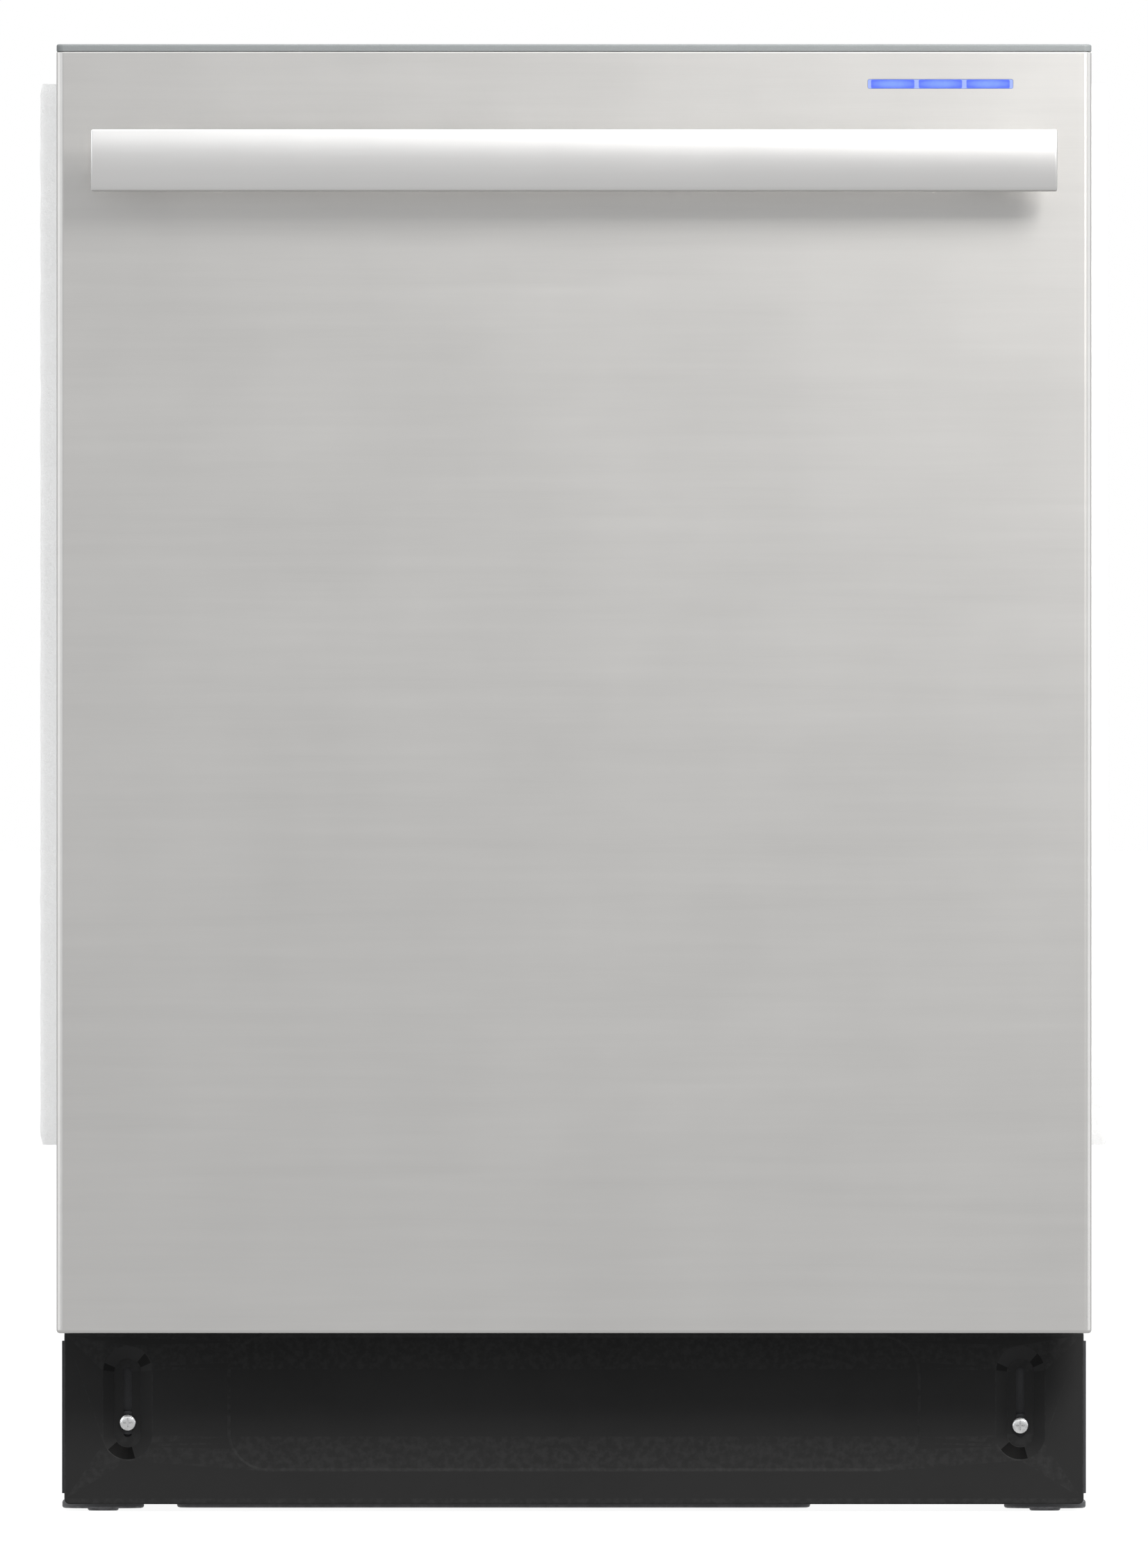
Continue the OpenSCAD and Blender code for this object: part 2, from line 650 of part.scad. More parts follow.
module control_cap() color("#a5aaac") difference() {
    union() {
        translate([0, 0, panel_z1]) linear_extrude(cap_t) door_plan(0, door_t);
        block([-flange_hw + 12, flange_hw - 12], well_y, [panel_z1 - 34, panel_z1]);
    }
    block([-flange_hw + 14, flange_hw - 14], well_y + [2, -2], [panel_z1 - 35, panel_z1 - 2]);
    for (k = [-2 : 2])
        block(around(k * button_pitch, button_w / 2), around(button_y, button_d / 2), [panel_z1 - 4, total_h + 1]);
    block([-16, 16], [liner_y - 20, liner_y - 4], [panel_z1 - 35, strike_z + 6]);
}

handle_z1 = total_h - handle_drop;
handle_z = [handle_z1 - handle_h, handle_z1];
handle_hw = handle_len / 2;
post_z = handle_z1 - handle_h / 2;

module handle_bar() color("silver") intersection() {
    block([-handle_hw, handle_hw], [front_y, front_y + handle_t], handle_z);
    rod_x([-handle_hw - 1, handle_hw + 1], front_y + handle_bulge_r, post_z + 3, handle_bulge_r);
}

module handle_posts() color("silver") both_sides() {
    rod_y(handle_hw - post_inset, [front_y + handle_t, door_y], post_z, post_r);
    rod_y(handle_hw - post_inset, [door_y - 3, door_y], post_z, post_r + 3);
}

module status_lens() color("#5a7cf0")
    plate_y(lens_x, lens_z, [door_y, door_y + 4]) round_rect(lens_w - 2 * lens_fit, lens_h - 2 * lens_fit, 0.9);

module control_board() color("seagreen")
    block([-130, tub_hw - 12], well_y + [4, -14], [panel_z1 - 16, panel_z1 - 14]);

module door_insulation() color("dimgray")
    block([-narrow_hw + 12, narrow_hw - 12], [door_y + 3, liner_y - 22], [liner_z0 + 12, panel_z1 - 60]);

disp_x = [-132, 88];
disp_z = [door_z0 + 365, door_z0 + 505];
cup_box_x = [-120, 0];

module dispenser() color("#d9dcdc") difference() {
    union() {
        block(disp_x, [liner_y - 20, liner_y], disp_z);
        block(disp_x + [-8, 8], [liner_y, liner_y + 4], disp_z + [-8, 8]);
    }
    block(cup_box_x + [8, -8], [liner_y - 18, liner_y + 5], disp_z + [16, -16]);
    rod_y(46, [liner_y - 18, liner_y + 5], disp_z[1] - 46, 6 + fit);
}

module dispenser_lid() color("#c3c8c8") {
    block(cup_box_x, [liner_y + 4.3, liner_y + 7], disp_z + [8, -8]);
    block([cup_box_x[0] + 6, cup_box_x[0] + 14], [liner_y + 7, liner_y + 9], disp_z + [40, -40]);
}

module rinse_cap() color("#3f5f8a") {
    rod_y(46, [liner_y + 4.3, liner_y + 7], disp_z[1] - 46, 17);
    rod_y(46, [liner_y - 12, liner_y + 4.3], disp_z[1] - 46, 6);
    block([31, 61], [liner_y + 6, liner_y + 9.5], [disp_z[1] - 48, disp_z[1] - 44]);
}

// One of the five buttons, counted from the middle
module button(k) color("#8f9598")
    block(around(k * button_pitch, button_w / 2 - button_fit), around(button_y, button_d / 2 - button_fit),
        [panel_z1 - 4, total_h - 0.2]);

module button_power() button(-2);

module button_cycle() button(-1);

module button_heat() button(0);

module button_delay() button(1);

module button_start() button(2);

module latch_pawl() color("silver") {
    block([-4, 4], [liner_y - 18, liner_y - 5], [strike_z - 8, strike_z - 4]);
    block([-4, 4], [liner_y - 8, liner_y - 5], [strike_z - 5, strike_z - 1]);
    rod_x([-8, 8], liner_y - 18, strike_z - 6, 2.5);
}

// ---- Racks ----

// Places of wires between two edges, no further apart than the pitch
function wires(a, b) = let (n = ceil((b - a - wire) / wire_pitch)) [for (i = [0 : n]) a + (b - a - wire) * i / n];

// An open basket of square wires
module wire_basket(x, y, z) {
    for (v = wires(y[0], y[1])) block(x, [v, v + wire], [z[0], z[0] + wire]);
    for (v = wires(x[0], x[1])) block([v, v + wire], y, [z[0], z[0] + wire]);
    for (v = wires(y[0], y[1]), s = [x[0], x[1] - wire]) block([s, s + wire], [v, v + wire], z);
    for (v = wires(x[0], x[1]), s = [y[0], y[1] - wire]) block([v, v + wire], [s, s + wire], z);
    for (h = [z[1] - wire, (z[0] + z[1]) / 2]) difference() {
        block(x, y, [h, h + wire]);
        block(x + [wire, -wire], y + [wire, -wire], [h - 1, h + wire + 1]);
    }
}

rack_x = [-rack_hw, rack_hw];
rack_y = [rack_y0, rack_y1];
tine_x = [-rack_hw + 88, -20];
tine_y = [rack_y0 + 60, rack_y1 - 60];

module lower_rack() color("#9aa0a4") {
    wire_basket(rack_x, rack_y, [lower_z0, lower_z1]);
    for (x = tine_x, y = tine_y) difference() {
        block([x - 5, x + 5], [y - 3, y + 3], [lower_z0 + wire, tine_z + 5]);
        rod_y(x, [y - 4, y + 4], tine_z, tine_r + fit);
    }
}

// The clips under the sides of the lower rack that carry its axles
module wheel_carriers() color("#6f757a") both_sides() for (y = [wheel_front_y, wheel_rear_y]) {
    block([rack_hw - wire, rack_hw], around(y, 10), [axle_z - 6, lower_z0]);
    rod_x([rack_hw - 1, wheel_x + wheel_t / 2 + 1], y, axle_z, 3);
}

// A pair of wheels on one axis
module wheel_pair(y) color("#6f757a") both_sides() difference() {
    rod_x([wheel_x - wheel_t / 2, wheel_x + wheel_t / 2], y, axle_z, wheel_r);
    rod_x([wheel_x - wheel_t / 2 - 1, wheel_x + wheel_t / 2 + 1], y, axle_z, 3 + fit);
}

module wheels_front() wheel_pair(wheel_front_y);

module wheels_rear() wheel_pair(wheel_rear_y);

// A row of tines on a rod that turns in the lower rack's clips
module tine_row(x) color("#9aa0a4") {
    rod_y(x, tine_y + [-8, 8], tine_z, tine_r);
    for (v = wires(tine_y[0] + 14, tine_y[1] - 14))
        block([x - wire / 2, x + wire / 2], [v, v + wire], [tine_z, tine_z + tine_len]);
}

module tine_row_left() tine_row(tine_x[0]);

module tine_row_right() tine_row(tine_x[1]);

basket_x = [rack_hw - 80, rack_hw - 10];
basket_y = [rack_y0 + 70, rack_y1 - 90];
basket_n = 6;

module cutlery_basket() color("#8b9196") {
    cell = (basket_y[1] - basket_y[0] - 2) / basket_n;
    difference() {
        block(basket_x, basket_y, [lower_z0 + wire, lower_z1 - 10]);
        for (k = [0 : basket_n - 1])
            block(basket_x + [2, -2], [basket_y[0] + cell * k + 2, basket_y[0] + cell * (k + 1)],
                [lower_z0 + wire + 2, lower_z1]);
    }
    translate([(basket_x[0] + basket_x[1]) / 2, 0, 0]) {
        for (y = [basket_y[0], basket_y[1] - 2])
            block([-6, 6], [y, y + 2], [lower_z1 - 40, lower_z1 + 20]);
        block([-6, 6], basket_y, [lower_z1 + 16, lower_z1 + 22]);
    }
}

runner_y = [arm_y, rack_y1 - 4];

module upper_rack() color("#9aa0a4") {
    wire_basket(rack_x, rack_y, [upper_z0, upper_z1]);
    both_sides() block([rack_hw - wire, tub_in - 7.5], runner_y, [rail_z - 6, rail_z + 6]);
    for (y = shelf_y) difference() {
        block([shelf_x - 5, rack_hw - wire + 1], around(y, 3), around(shelf_z, 6));
        rod_y(shelf_x, around(y, 4), shelf_z, tine_r + fit);
    }
}

module rail_slides() color("silver") both_sides() difference() {
    block([tub_in - 16, tub_in - 2.5], [flange_y + 12, rack_y1 + 12], [rail_z - 12.5, rail_z + 12.5]);
    block([tub_in - 17, tub_in - 7], [flange_y + 11, rack_y1 + 8], [rail_z - 6.5, rail_z + 6.5]);
}

shelf_x = rack_hw - 14;
shelf_y = [rack_y0 + 90, rack_y1 - 110];
shelf_z = rail_z - 20;
shelf_reach = 90;

module cup_shelf() color("#9aa0a4") {
    rod_y(shelf_x, shelf_y + [-8, 8], shelf_z, tine_r);
    for (v = wires(shelf_y[0] + 8, shelf_y[1] - 8))
        block([shelf_x - shelf_reach, shelf_x], [v, v + wire], around(shelf_z, wire / 2));
    for (x = [shelf_x - shelf_reach, shelf_x - shelf_reach / 2])
        block([x, x + wire], shelf_y + [8, -8], around(shelf_z, wire / 2));
}

tub();
tub_gasket();
door_bottom_seal();
side_seals();
sound_blanket();
base_frame();
toe_kick();
toe_kick_screws();
drip_pan();
sump();
wash_pump();
wash_impeller();
drain_pump();
filter_plate();
filter_cup();
heater_element();
water_feed();
inlet_valve();
junction_box();
counter_brackets();
strike();
rail_tracks();
hinge_brackets();
overfill_float();
lower_spray_arm();
top_spray_arm();
leg_front_left();
leg_front_right();
leg_rear_left();
leg_rear_right();
door_panel();
door_liner();
hinge_arms();
control_cap();
handle_bar();
handle_posts();
status_lens();
control_board();
door_insulation();
dispenser();
dispenser_lid();
rinse_cap();
button_power();
button_cycle();
button_heat();
button_delay();
button_start();
latch_pawl();
lower_rack();
wheel_carriers();
cutlery_basket();
wheels_front();
wheels_rear();
tine_row_left();
tine_row_right();
rail_slides();
upper_rack();
cup_shelf();
middle_manifold();
middle_spray_arm();
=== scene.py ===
import json
from math import atan2, ceil, copysign, cos, degrees, exp, hypot, pi, radians, sin, sqrt, tan

import bmesh
import bpy
from mathutils import Matrix, Vector, noise
from mathutils.geometry import tessellate_polygon


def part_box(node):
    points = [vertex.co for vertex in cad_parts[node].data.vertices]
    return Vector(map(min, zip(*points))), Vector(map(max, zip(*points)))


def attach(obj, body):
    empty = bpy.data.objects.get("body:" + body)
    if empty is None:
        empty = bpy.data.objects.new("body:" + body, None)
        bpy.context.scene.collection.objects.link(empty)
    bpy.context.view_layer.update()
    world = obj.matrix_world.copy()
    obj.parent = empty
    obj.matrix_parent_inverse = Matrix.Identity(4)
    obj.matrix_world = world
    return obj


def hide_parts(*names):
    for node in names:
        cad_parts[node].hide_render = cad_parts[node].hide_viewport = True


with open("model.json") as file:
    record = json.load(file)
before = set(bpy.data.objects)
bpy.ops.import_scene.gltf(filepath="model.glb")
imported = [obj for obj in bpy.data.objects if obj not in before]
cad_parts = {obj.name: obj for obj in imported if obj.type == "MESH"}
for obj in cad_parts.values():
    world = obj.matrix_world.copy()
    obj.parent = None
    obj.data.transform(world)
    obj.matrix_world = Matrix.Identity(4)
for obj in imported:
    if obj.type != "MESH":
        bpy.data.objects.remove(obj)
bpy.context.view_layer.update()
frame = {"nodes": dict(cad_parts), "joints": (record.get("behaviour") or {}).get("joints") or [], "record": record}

MM = 0.001
node_box = {name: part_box(name) for name in frame["nodes"]}


# ---- Lengths ----

def mm(*values):
    """Millimetres made into metres, through nested rows too."""
    return tuple(mm(*v) if isinstance(v, tuple) else v * MM for v in values)


def about(place, half):
    """The range that reaches as far to both sides of a place."""
    return place - half, place + half


def sided(side, a, b):
    """A range given for the right side, turned to side 1 or -1."""
    return sorted((side * a, side * b))


# ---- Outlines: lists of (u, v) points, anticlockwise ----

def arc(centre, r, start, end, steps):
    """Points along an arc, with its angles in degrees."""
    angles = [radians(start + (end - start) * i / steps) for i in range(steps + 1)]
    return [(centre[0] + r * cos(a), centre[1] + r * sin(a)) for a in angles]


def rounded(u, v, r, steps=6):
    """A rectangle over two ranges, with round corners."""
    points = []
    corners = ((u[1] - r, v[1] - r), (u[0] + r, v[1] - r), (u[0] + r, v[0] + r), (u[1] - r, v[0] + r))
    for k, corner in enumerate(corners):
        points += arc(corner, r, 90 * k, 90 * k + 90, steps)
    return points


def ring_of(r, centre=(0, 0), steps=48):
    """A circle."""
    return arc(centre, r, 0, 360, steps)[:-1]


def hoop(r, h, place, axis, steps):
    """A circle about an axis through a place, at a height along it."""
    x, y, z = place
    turn = {"x": lambda u, v: (x + h, y + u, z + v), "y": lambda u, v: (x + u, y + h, z + v), "z": lambda u,
            v: (x + u, y + v, z + h)}
    return [turn[axis](u, v) for u, v in ring_of(r, steps=steps)]


def shrunk(outline, d):
    """An outline moved in by d all round."""
    n = len(outline)
    area = sum(outline[i - 1][0] * outline[i][1] - outline[i][0] * outline[i - 1][1] for i in range(n))
    turn = 1 if area > 0 else -1
    moved = []
    for i, (u, v) in enumerate(outline):
        before = Vector((u - outline[i - 1][0], v - outline[i - 1][1]))
        after = Vector((outline[(i + 1) % n][0] - u, outline[(i + 1) % n][1] - v))
        side = [Vector((-e.y, e.x)).normalized() for e in (before, after) if e.length > 1e-7]
        way = sum(side, Vector((0, 0))) / len(side)
        reach = max(way.length_squared, 0.3)
        moved.append((u + turn * d * way.x / reach, v + turn * d * way.y / reach))
    return moved


def lay(outline, plane, depth):
    """An outline put into a plane, at a place along the third axis."""
    turn = {"xy": lambda u, v: (u, v, depth), "xz": lambda u, v: (u, depth, v), "yz": lambda u,
            v: (depth, u, v)}
    return [turn[plane](u, v) for u, v in outline]


def stacked(outline, plane, levels, base=0.0, way=1):
    """An outline moved in and laid at each (inset, height) level, measured from a base."""
    return [lay(shrunk(outline, inset), plane, base + way * h) for inset, h in levels]


def bend(path, r, steps=5, closed=False):
    """A path in space with each of its corners rounded to a radius."""
    points = [Vector(p) for p in path]
    n = len(points)
    smooth = []
    for i, corner in enumerate(points):
        if not closed and i in (0, n - 1):
            smooth.append(corner)
            continue
        a = points[i - 1] - corner
        b = points[(i + 1) % n] - corner
        half = a.angle(b) / 2
        reach = min(r / tan(half), a.length * 0.49, b.length * 0.49)
        start, end = corner + a.normalized() * reach, corner + b.normalized() * reach
        centre = corner + (a.normalized() + b.normalized()).normalized() * reach / cos(half)
        for k in range(steps + 1):
            way = (start - centre).lerp(end - centre, k / steps).normalized()
            smooth.append(centre + way * (start - centre).length)
    return smooth


def spread(a, b, pitch):
    """Even places from a to b, no further apart than the pitch."""
    n = max(1, ceil((b - a) / pitch - 1e-6))
    return [a + (b - a) * i / n for i in range(n + 1)]


# ---- Shapes ----

class Shape:
    """A mesh while it is being made."""

    def __init__(self):
        self.bm = bmesh.new()

    def skin(self, rings, closed=True, ends=True):
        """Faces between rings of as many points each, and a flat face over each end."""
        rows = [[self.bm.verts.new(p) for p in ring] for ring in rings]
        for a, b in zip(rows, rows[1:]):
            for i in range(len(a) if closed else len(a) - 1):
                j = (i + 1) % len(a)
                self.bm.faces.new((a[i], a[j], b[j], b[i]))
        if ends:
            self.bm.faces.new(rows[0][::-1])
            self.bm.faces.new(rows[-1])
        return rows

    def fill(self, outer, holes=()):
        """A flat face from an outer row of vertices in to the rows of its holes."""
        loops = [outer, *holes]
        corners = [v for loop in loops for v in loop]
        for triangle in tessellate_polygon([[v.co for v in loop] for loop in loops]):
            self.bm.faces.new([corners[i] for i in triangle])

    def slab(self, outline, plane, depth, edge=0.5 * MM, steps=3):
        """An outline given a thickness, with rounded edges on both faces."""
        near, far = depth
        rings = []
        for k in range(steps + 1):
            a = radians(90 * k / steps)
            rings.append(lay(shrunk(outline, edge * (1 - sin(a))), plane, near + edge * (1 - cos(a))))
        for k in range(steps + 1):
            a = radians(90 * k / steps)
            rings.append(lay(shrunk(outline, edge * (1 - cos(a))), plane, far - edge * (1 - sin(a))))
        return self.skin(rings)

    def block(self, x, y, z, edge=0.5 * MM, steps=2):
        """A box over three ranges, with rounded edges."""
        size = Vector((x[1] - x[0], y[1] - y[0], z[1] - z[0]))
        middle = Vector((x[1] + x[0], y[1] + y[0], z[1] + z[0])) / 2
        made = bmesh.ops.create_cube(self.bm, size=1, matrix=Matrix.LocRotScale(middle, None, size))
        edges = {e for v in made["verts"] for e in v.link_edges}
        if edge:
            bmesh.ops.bevel(self.bm, geom=list(edges), offset=min(edge, min(size) * 0.45), segments=steps,
                            profile=0.5, affect="EDGES")

    def turned(self, profile, place, axis="z", steps=48):
        """A profile of (radius, height) pairs turned about an axis through a place."""
        return self.skin([hoop(max(r, 1e-6), h, place, axis, steps) for r, h in profile])

    def tube(self, path, r, sides=10, closed=False):
        """A round bar along a path, with domed ends."""
        points = [Vector(p) for p in path]
        n = len(points)
        rings = []
        side = None
        for i, p in enumerate(points):
            before = points[i - 1] if closed or i else p
            after = points[(i + 1) % n] if closed or i < n - 1 else p
            way = (after - before).normalized()
            if side is None:
                side = way.orthogonal().normalized()
            side = (side - way * side.dot(way)).normalized()
            across = way.cross(side)
            turns = [2 * pi * k / sides for k in range(sides)]
            spokes = [side * cos(a) + across * sin(a) for a in turns]
            domes = [(0, 1)]
            if not closed and i in (0, n - 1):
                domes = [(0.9, 0.4), (0.55, 0.83), (0, 1)]
            if i == 0:
                stack = [(-out, width) for out, width in domes]
            else:
                stack = [(out, width) for out, width in reversed(domes)]
            for out, width in stack:
                rings.append([p + way * out * r + s * r * width for s in spokes])
        if closed:
            rings.append(rings[0])
        self.skin(rings, ends=not closed)

    def mirror_x(self):
        """Adds the mirror image on the other side of the middle plane."""
        made = bmesh.ops.duplicate(self.bm, geom=self.bm.faces[:] + self.bm.edges[:] + self.bm.verts[:])
        verts = [g for g in made["geom"] if isinstance(g, bmesh.types.BMVert)]
        bmesh.ops.scale(self.bm, vec=(-1, 1, 1), verts=verts)

    def to_mesh(self, name):
        """Closes the shape and turns it into a mesh that shades cleanly."""
        bmesh.ops.remove_doubles(self.bm, verts=self.bm.verts, dist=3e-6)
        bmesh.ops.dissolve_degenerate(self.bm, edges=self.bm.edges, dist=1e-6)
        bmesh.ops.recalc_face_normals(self.bm, faces=self.bm.faces)
        mesh = bpy.data.meshes.new(name)
        self.bm.to_mesh(mesh)
        self.bm.free()
        return mesh


EDGE_WIDTH = 1.7 * MM


def mark_edges(mesh):
    """Marks the narrow faces that round an edge, where handling wears a finish first."""
    mark = mesh.attributes.new("edge", "FLOAT", "FACE")
    for face in mesh.polygons:
        points = [mesh.vertices[i].co for i in face.vertices]
        longest = max((points[i] - points[i - 1]).length for i in range(len(points)))
        mark.data[face.index].value = float(face.area / max(longest, 1e-9) < EDGE_WIDTH)


def piece(shape, name, body, slot, stands_for=(), sharp=38):
    """Makes a shape into a piece of the object that rides on a body."""
    mesh = shape.to_mesh(name) if isinstance(shape, Shape) else shape
    for face in mesh.polygons:
        face.use_smooth = True
    mesh.set_sharp_from_angle(angle=radians(sharp))
    mark_edges(mesh)
    made = bpy.data.objects.new(name, mesh)
    bpy.context.scene.collection.objects.link(made)
    made.modifiers.new("even_shading", "WEIGHTED_NORMAL").keep_sharp = True
    mesh.materials.clear()
    mesh.materials.append(finishes[slot])
    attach(made, body)
    if stands_for:
        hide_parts(*stands_for)
    return made


def worked(mesh, setup):
    """A mesh after the modifiers that setup adds to an object holding it."""
    holder = bpy.data.objects.new("holder", mesh)
    bpy.context.scene.collection.objects.link(holder)
    setup(holder)
    graph = bpy.context.evaluated_depsgraph_get()
    made = bpy.data.meshes.new_from_object(holder.evaluated_get(graph))
    bpy.data.objects.remove(holder)
    return made


def cut(mesh, cutter):
    """A closed mesh with the space of another taken out of it."""
    tool = bpy.data.objects.new("tool", cutter.to_mesh("tool"))
    bpy.context.scene.collection.objects.link(tool)
    tool.hide_render = True

    def setup(holder):
        away = holder.modifiers.new("cut", "BOOLEAN")
        away.operation = "DIFFERENCE"
        away.solver = "EXACT"
        away.object = tool

    made = worked(mesh, setup)
    bpy.data.objects.remove(tool)
    return made


def thick(mesh, wall, offset=-1):
    """A surface made into sheet of a given wall."""
    def setup(holder):
        sheet = holder.modifiers.new("wall", "SOLIDIFY")
        sheet.thickness = wall
        sheet.offset = offset
        sheet.use_even_offset = True
    return worked(mesh, setup)


def dressed(node, slot, edge=0.8 * MM, steps=2, extra=None, name=None, corner=30):
    """A CAD node's own form with its sharp edges rounded, plus what extra adds to it."""
    shape = Shape()
    bm = shape.bm
    bm.from_mesh(frame["nodes"][node].data)
    bmesh.ops.remove_doubles(bm, verts=bm.verts, dist=2e-6)
    bmesh.ops.dissolve_limit(bm, angle_limit=radians(0.6), verts=bm.verts, edges=bm.edges)
    sharp = [e for e in bm.edges if len(e.link_faces) == 2 and e.calc_face_angle(0) > radians(corner)]
    bmesh.ops.bevel(bm, geom=sharp, offset=edge, segments=steps, profile=0.5, affect="EDGES",
                    clamp_overlap=True)
    if extra:
        extra(shape)
    return piece(shape, name or node + "_finished", frame_body[node], slot, (node,))


frame_body = {node: body for body, nodes in frame["record"]["behaviour"]["bodies"].items() for node in nodes}


# ---- Finishes ----

def add_node(tree, kind, inputs=None, **settings):
    """A node with its settings, and with each input linked or set."""
    made = tree.nodes.new(kind)
    for name, value in settings.items():
        setattr(made, name, value)
    feed(tree, made, inputs or {})
    return made


def feed(tree, node, inputs):
    """Links each input that is given a socket, and sets the others."""
    for name, value in inputs.items():
        if isinstance(value, bpy.types.NodeSocket):
            tree.links.new(value, node.inputs[name])
        else:
            node.inputs[name].default_value = value


class Finish:
    """The nodes of one material, built up from a colour and a roughness."""

    def __init__(self, slot, color, rough, metal=0.0, **sockets):
        self.slot = slot
        self.made = bpy.data.materials.new(slot + "_finish")
        self.made.use_nodes = True
        self.tree = self.made.node_tree
        self.shader = self.tree.nodes["Principled BSDF"]
        self.shader.inputs["Base Color"].default_value = (*color, 1)
        self.shader.inputs["Roughness"].default_value = rough
        self.shader.inputs["Metallic"].default_value = metal
        for name, value in sockets.items():
            self.shader.inputs[name.replace("_", " ")].default_value = value
        self.color = color
        self.rough = rough

    def node(self, kind, inputs=None, **settings):
        return add_node(self.tree, kind, inputs, **settings)

    def place(self, stretch=(1, 1, 1), shift=(0, 0, 0)):
        where = self.node("ShaderNodeTexCoord").outputs["Object"]
        scaled = self.node("ShaderNodeMapping", {"Vector": where, "Scale": stretch, "Location": shift})
        return scaled.outputs["Vector"]

    def cloud(self, size, stretch=(1, 1, 1), detail=3.0, low=0.35, high=0.65, shift=(0, 0, 0)):
        """Noise from 0 to 1 whose features have a size in metres."""
        source = self.node("ShaderNodeTexNoise",
                           {"Vector": self.place(stretch, shift), "Scale": 1 / size, "Detail": detail,
                            "Roughness": 0.6})
        return self.spanned(source.outputs["Fac"], low, high, 0, 1)

    def spanned(self, value, low, high, start, end):
        return self.node("ShaderNodeMapRange",
                         {"Value": value, "From Min": low, "From Max": high, "To Min": start,
                          "To Max": end}).outputs["Result"]

    def product(self, a, b):
        return self.node("ShaderNodeMath", {0: a, 1: b}, operation="MULTIPLY").outputs[0]

    def worn(self, size=4 * MM):
        """Where handling has reached: along the edges, in patches."""
        edge = self.node("ShaderNodeAttribute", attribute_name="edge").outputs["Fac"]
        return self.product(edge, self.cloud(size, low=0.42, high=0.62))

    def tint(self, mask, color, amount=1.0):
        """Blends the colour towards another by a mask."""
        mix = self.tree.nodes.new("ShaderNodeMix")
        mix.data_type = "RGBA"
        self.tree.links.new(self.product(mask, amount), mix.inputs[0])
        before = self.shader.inputs["Base Color"]
        if before.is_linked:
            self.tree.links.new(before.links[0].from_socket, mix.inputs[6])
        else:
            mix.inputs[6].default_value = before.default_value
        mix.inputs[7].default_value = (*(min(c, 0.95) for c in color), 1)
        self.tree.links.new(mix.outputs[2], before)
        return self

    def shade(self, mask, factor):
        """Blends towards the same colour made lighter or darker by a factor."""
        return self.tint(mask, [c * factor for c in self.color])

    def gloss(self, mask, change):
        """Lets the roughness swing to either side by a change."""
        spread_out = self.spanned(mask, 0, 1, max(self.rough - change, 0.02), self.rough + change)
        self.tree.links.new(spread_out, self.shader.inputs["Roughness"])
        return self

    def relief(self, height, depth, strength=1.0):
        """Raises and sinks the surface by a height map, to a depth in metres."""
        raised = self.node("ShaderNodeBump", {"Height": height, "Distance": depth, "Strength": strength})
        before = self.shader.inputs["Normal"]
        if before.is_linked:
            self.tree.links.new(before.links[0].from_socket, raised.inputs["Normal"])
        self.tree.links.new(raised.outputs["Normal"], before)
        return self


def brushed(slot, color, rough, along=0, streak=1.0):
    """Brushed or rolled steel, with its grain along one axis."""
    thin = [1 if k == along else 120 for k in range(3)]
    steel = Finish(slot, color, rough, 1.0)
    fine = steel.cloud(34 * MM, thin, 4, low=0.2, high=0.8)
    broad = steel.cloud(220 * MM, [1 if k == along else 24 for k in range(3)], 2, low=0.2, high=0.8,
                        shift=(3, 1, 2))
    film = steel.cloud(90 * MM, detail=4, low=0.2, high=0.8, shift=(7, 2, 5))
    steel.shade(fine, 1 - 0.05 * streak).shade(broad, 1 + 0.03 * streak)
    steel.gloss(steel.product(fine, film), 0.03)
    return steel.relief(fine, 0.0025 * MM * streak)


def pressed(slot, color, rough):
    """Satin steel with water marks and the faint waves of a drawn sheet."""
    steel = Finish(slot, color, rough, 1.0)
    grain = steel.cloud(14 * MM, (60, 60, 1), 4, low=0.2, high=0.8)
    marks = steel.cloud(45 * MM, detail=5, low=0.5, high=0.8, shift=(1, 4, 2))
    steel.shade(grain, 0.95).tint(marks, [c * 0.9 for c in color], 0.35)
    steel.gloss(marks, 0.03)
    steel.relief(steel.cloud(150 * MM, detail=1, low=0.2, high=0.8), 0.08 * MM, 0.4)
    return steel.relief(grain, 0.002 * MM)


def plated(slot, color, rough):
    """Zinc-plated steel, with its crystals and its worn corners."""
    steel = Finish(slot, color, rough, 1.0)
    flakes = steel.node("ShaderNodeTexVoronoi", {"Vector": steel.place(), "Scale": 1 / (5 * MM)})
    mask = steel.spanned(flakes.outputs["Color"], 0, 1, 0, 1)
    steel.shade(mask, 0.86).tint(steel.cloud(25 * MM, detail=5), [c * 0.8 for c in color], 0.5)
    steel.shade(steel.worn(), 1.25).gloss(mask, 0.08)
    return steel.relief(steel.cloud(0.6 * MM), 0.02 * MM)


def moulded(slot, color, rough, grain=0.7 * MM, depth=0.03 * MM, wear=1.5, **sockets):
    """Moulded plastic: a fine spark-eroded grain, flow marks and lighter corners."""
    plastic = Finish(slot, color, rough, **sockets)
    flow = plastic.cloud(60 * MM, detail=4)
    speck = plastic.cloud(grain, detail=2)
    plastic.shade(flow, 0.92).shade(plastic.product(speck, 0.4), 1.15)
    plastic.shade(plastic.worn(), wear).gloss(flow, 0.06)
    return plastic.relief(speck, depth)


def rubber(slot, color, rough):
    """Soft rubber with a dusty bloom."""
    soft = Finish(slot, color, rough, Specular_IOR_Level=0.35)
    bloom = soft.cloud(12 * MM, detail=5)
    soft.tint(bloom, [c * 2.2 + 0.01 for c in color], 0.4).gloss(bloom, 0.08)
    return soft.relief(soft.cloud(0.5 * MM), 0.03 * MM)


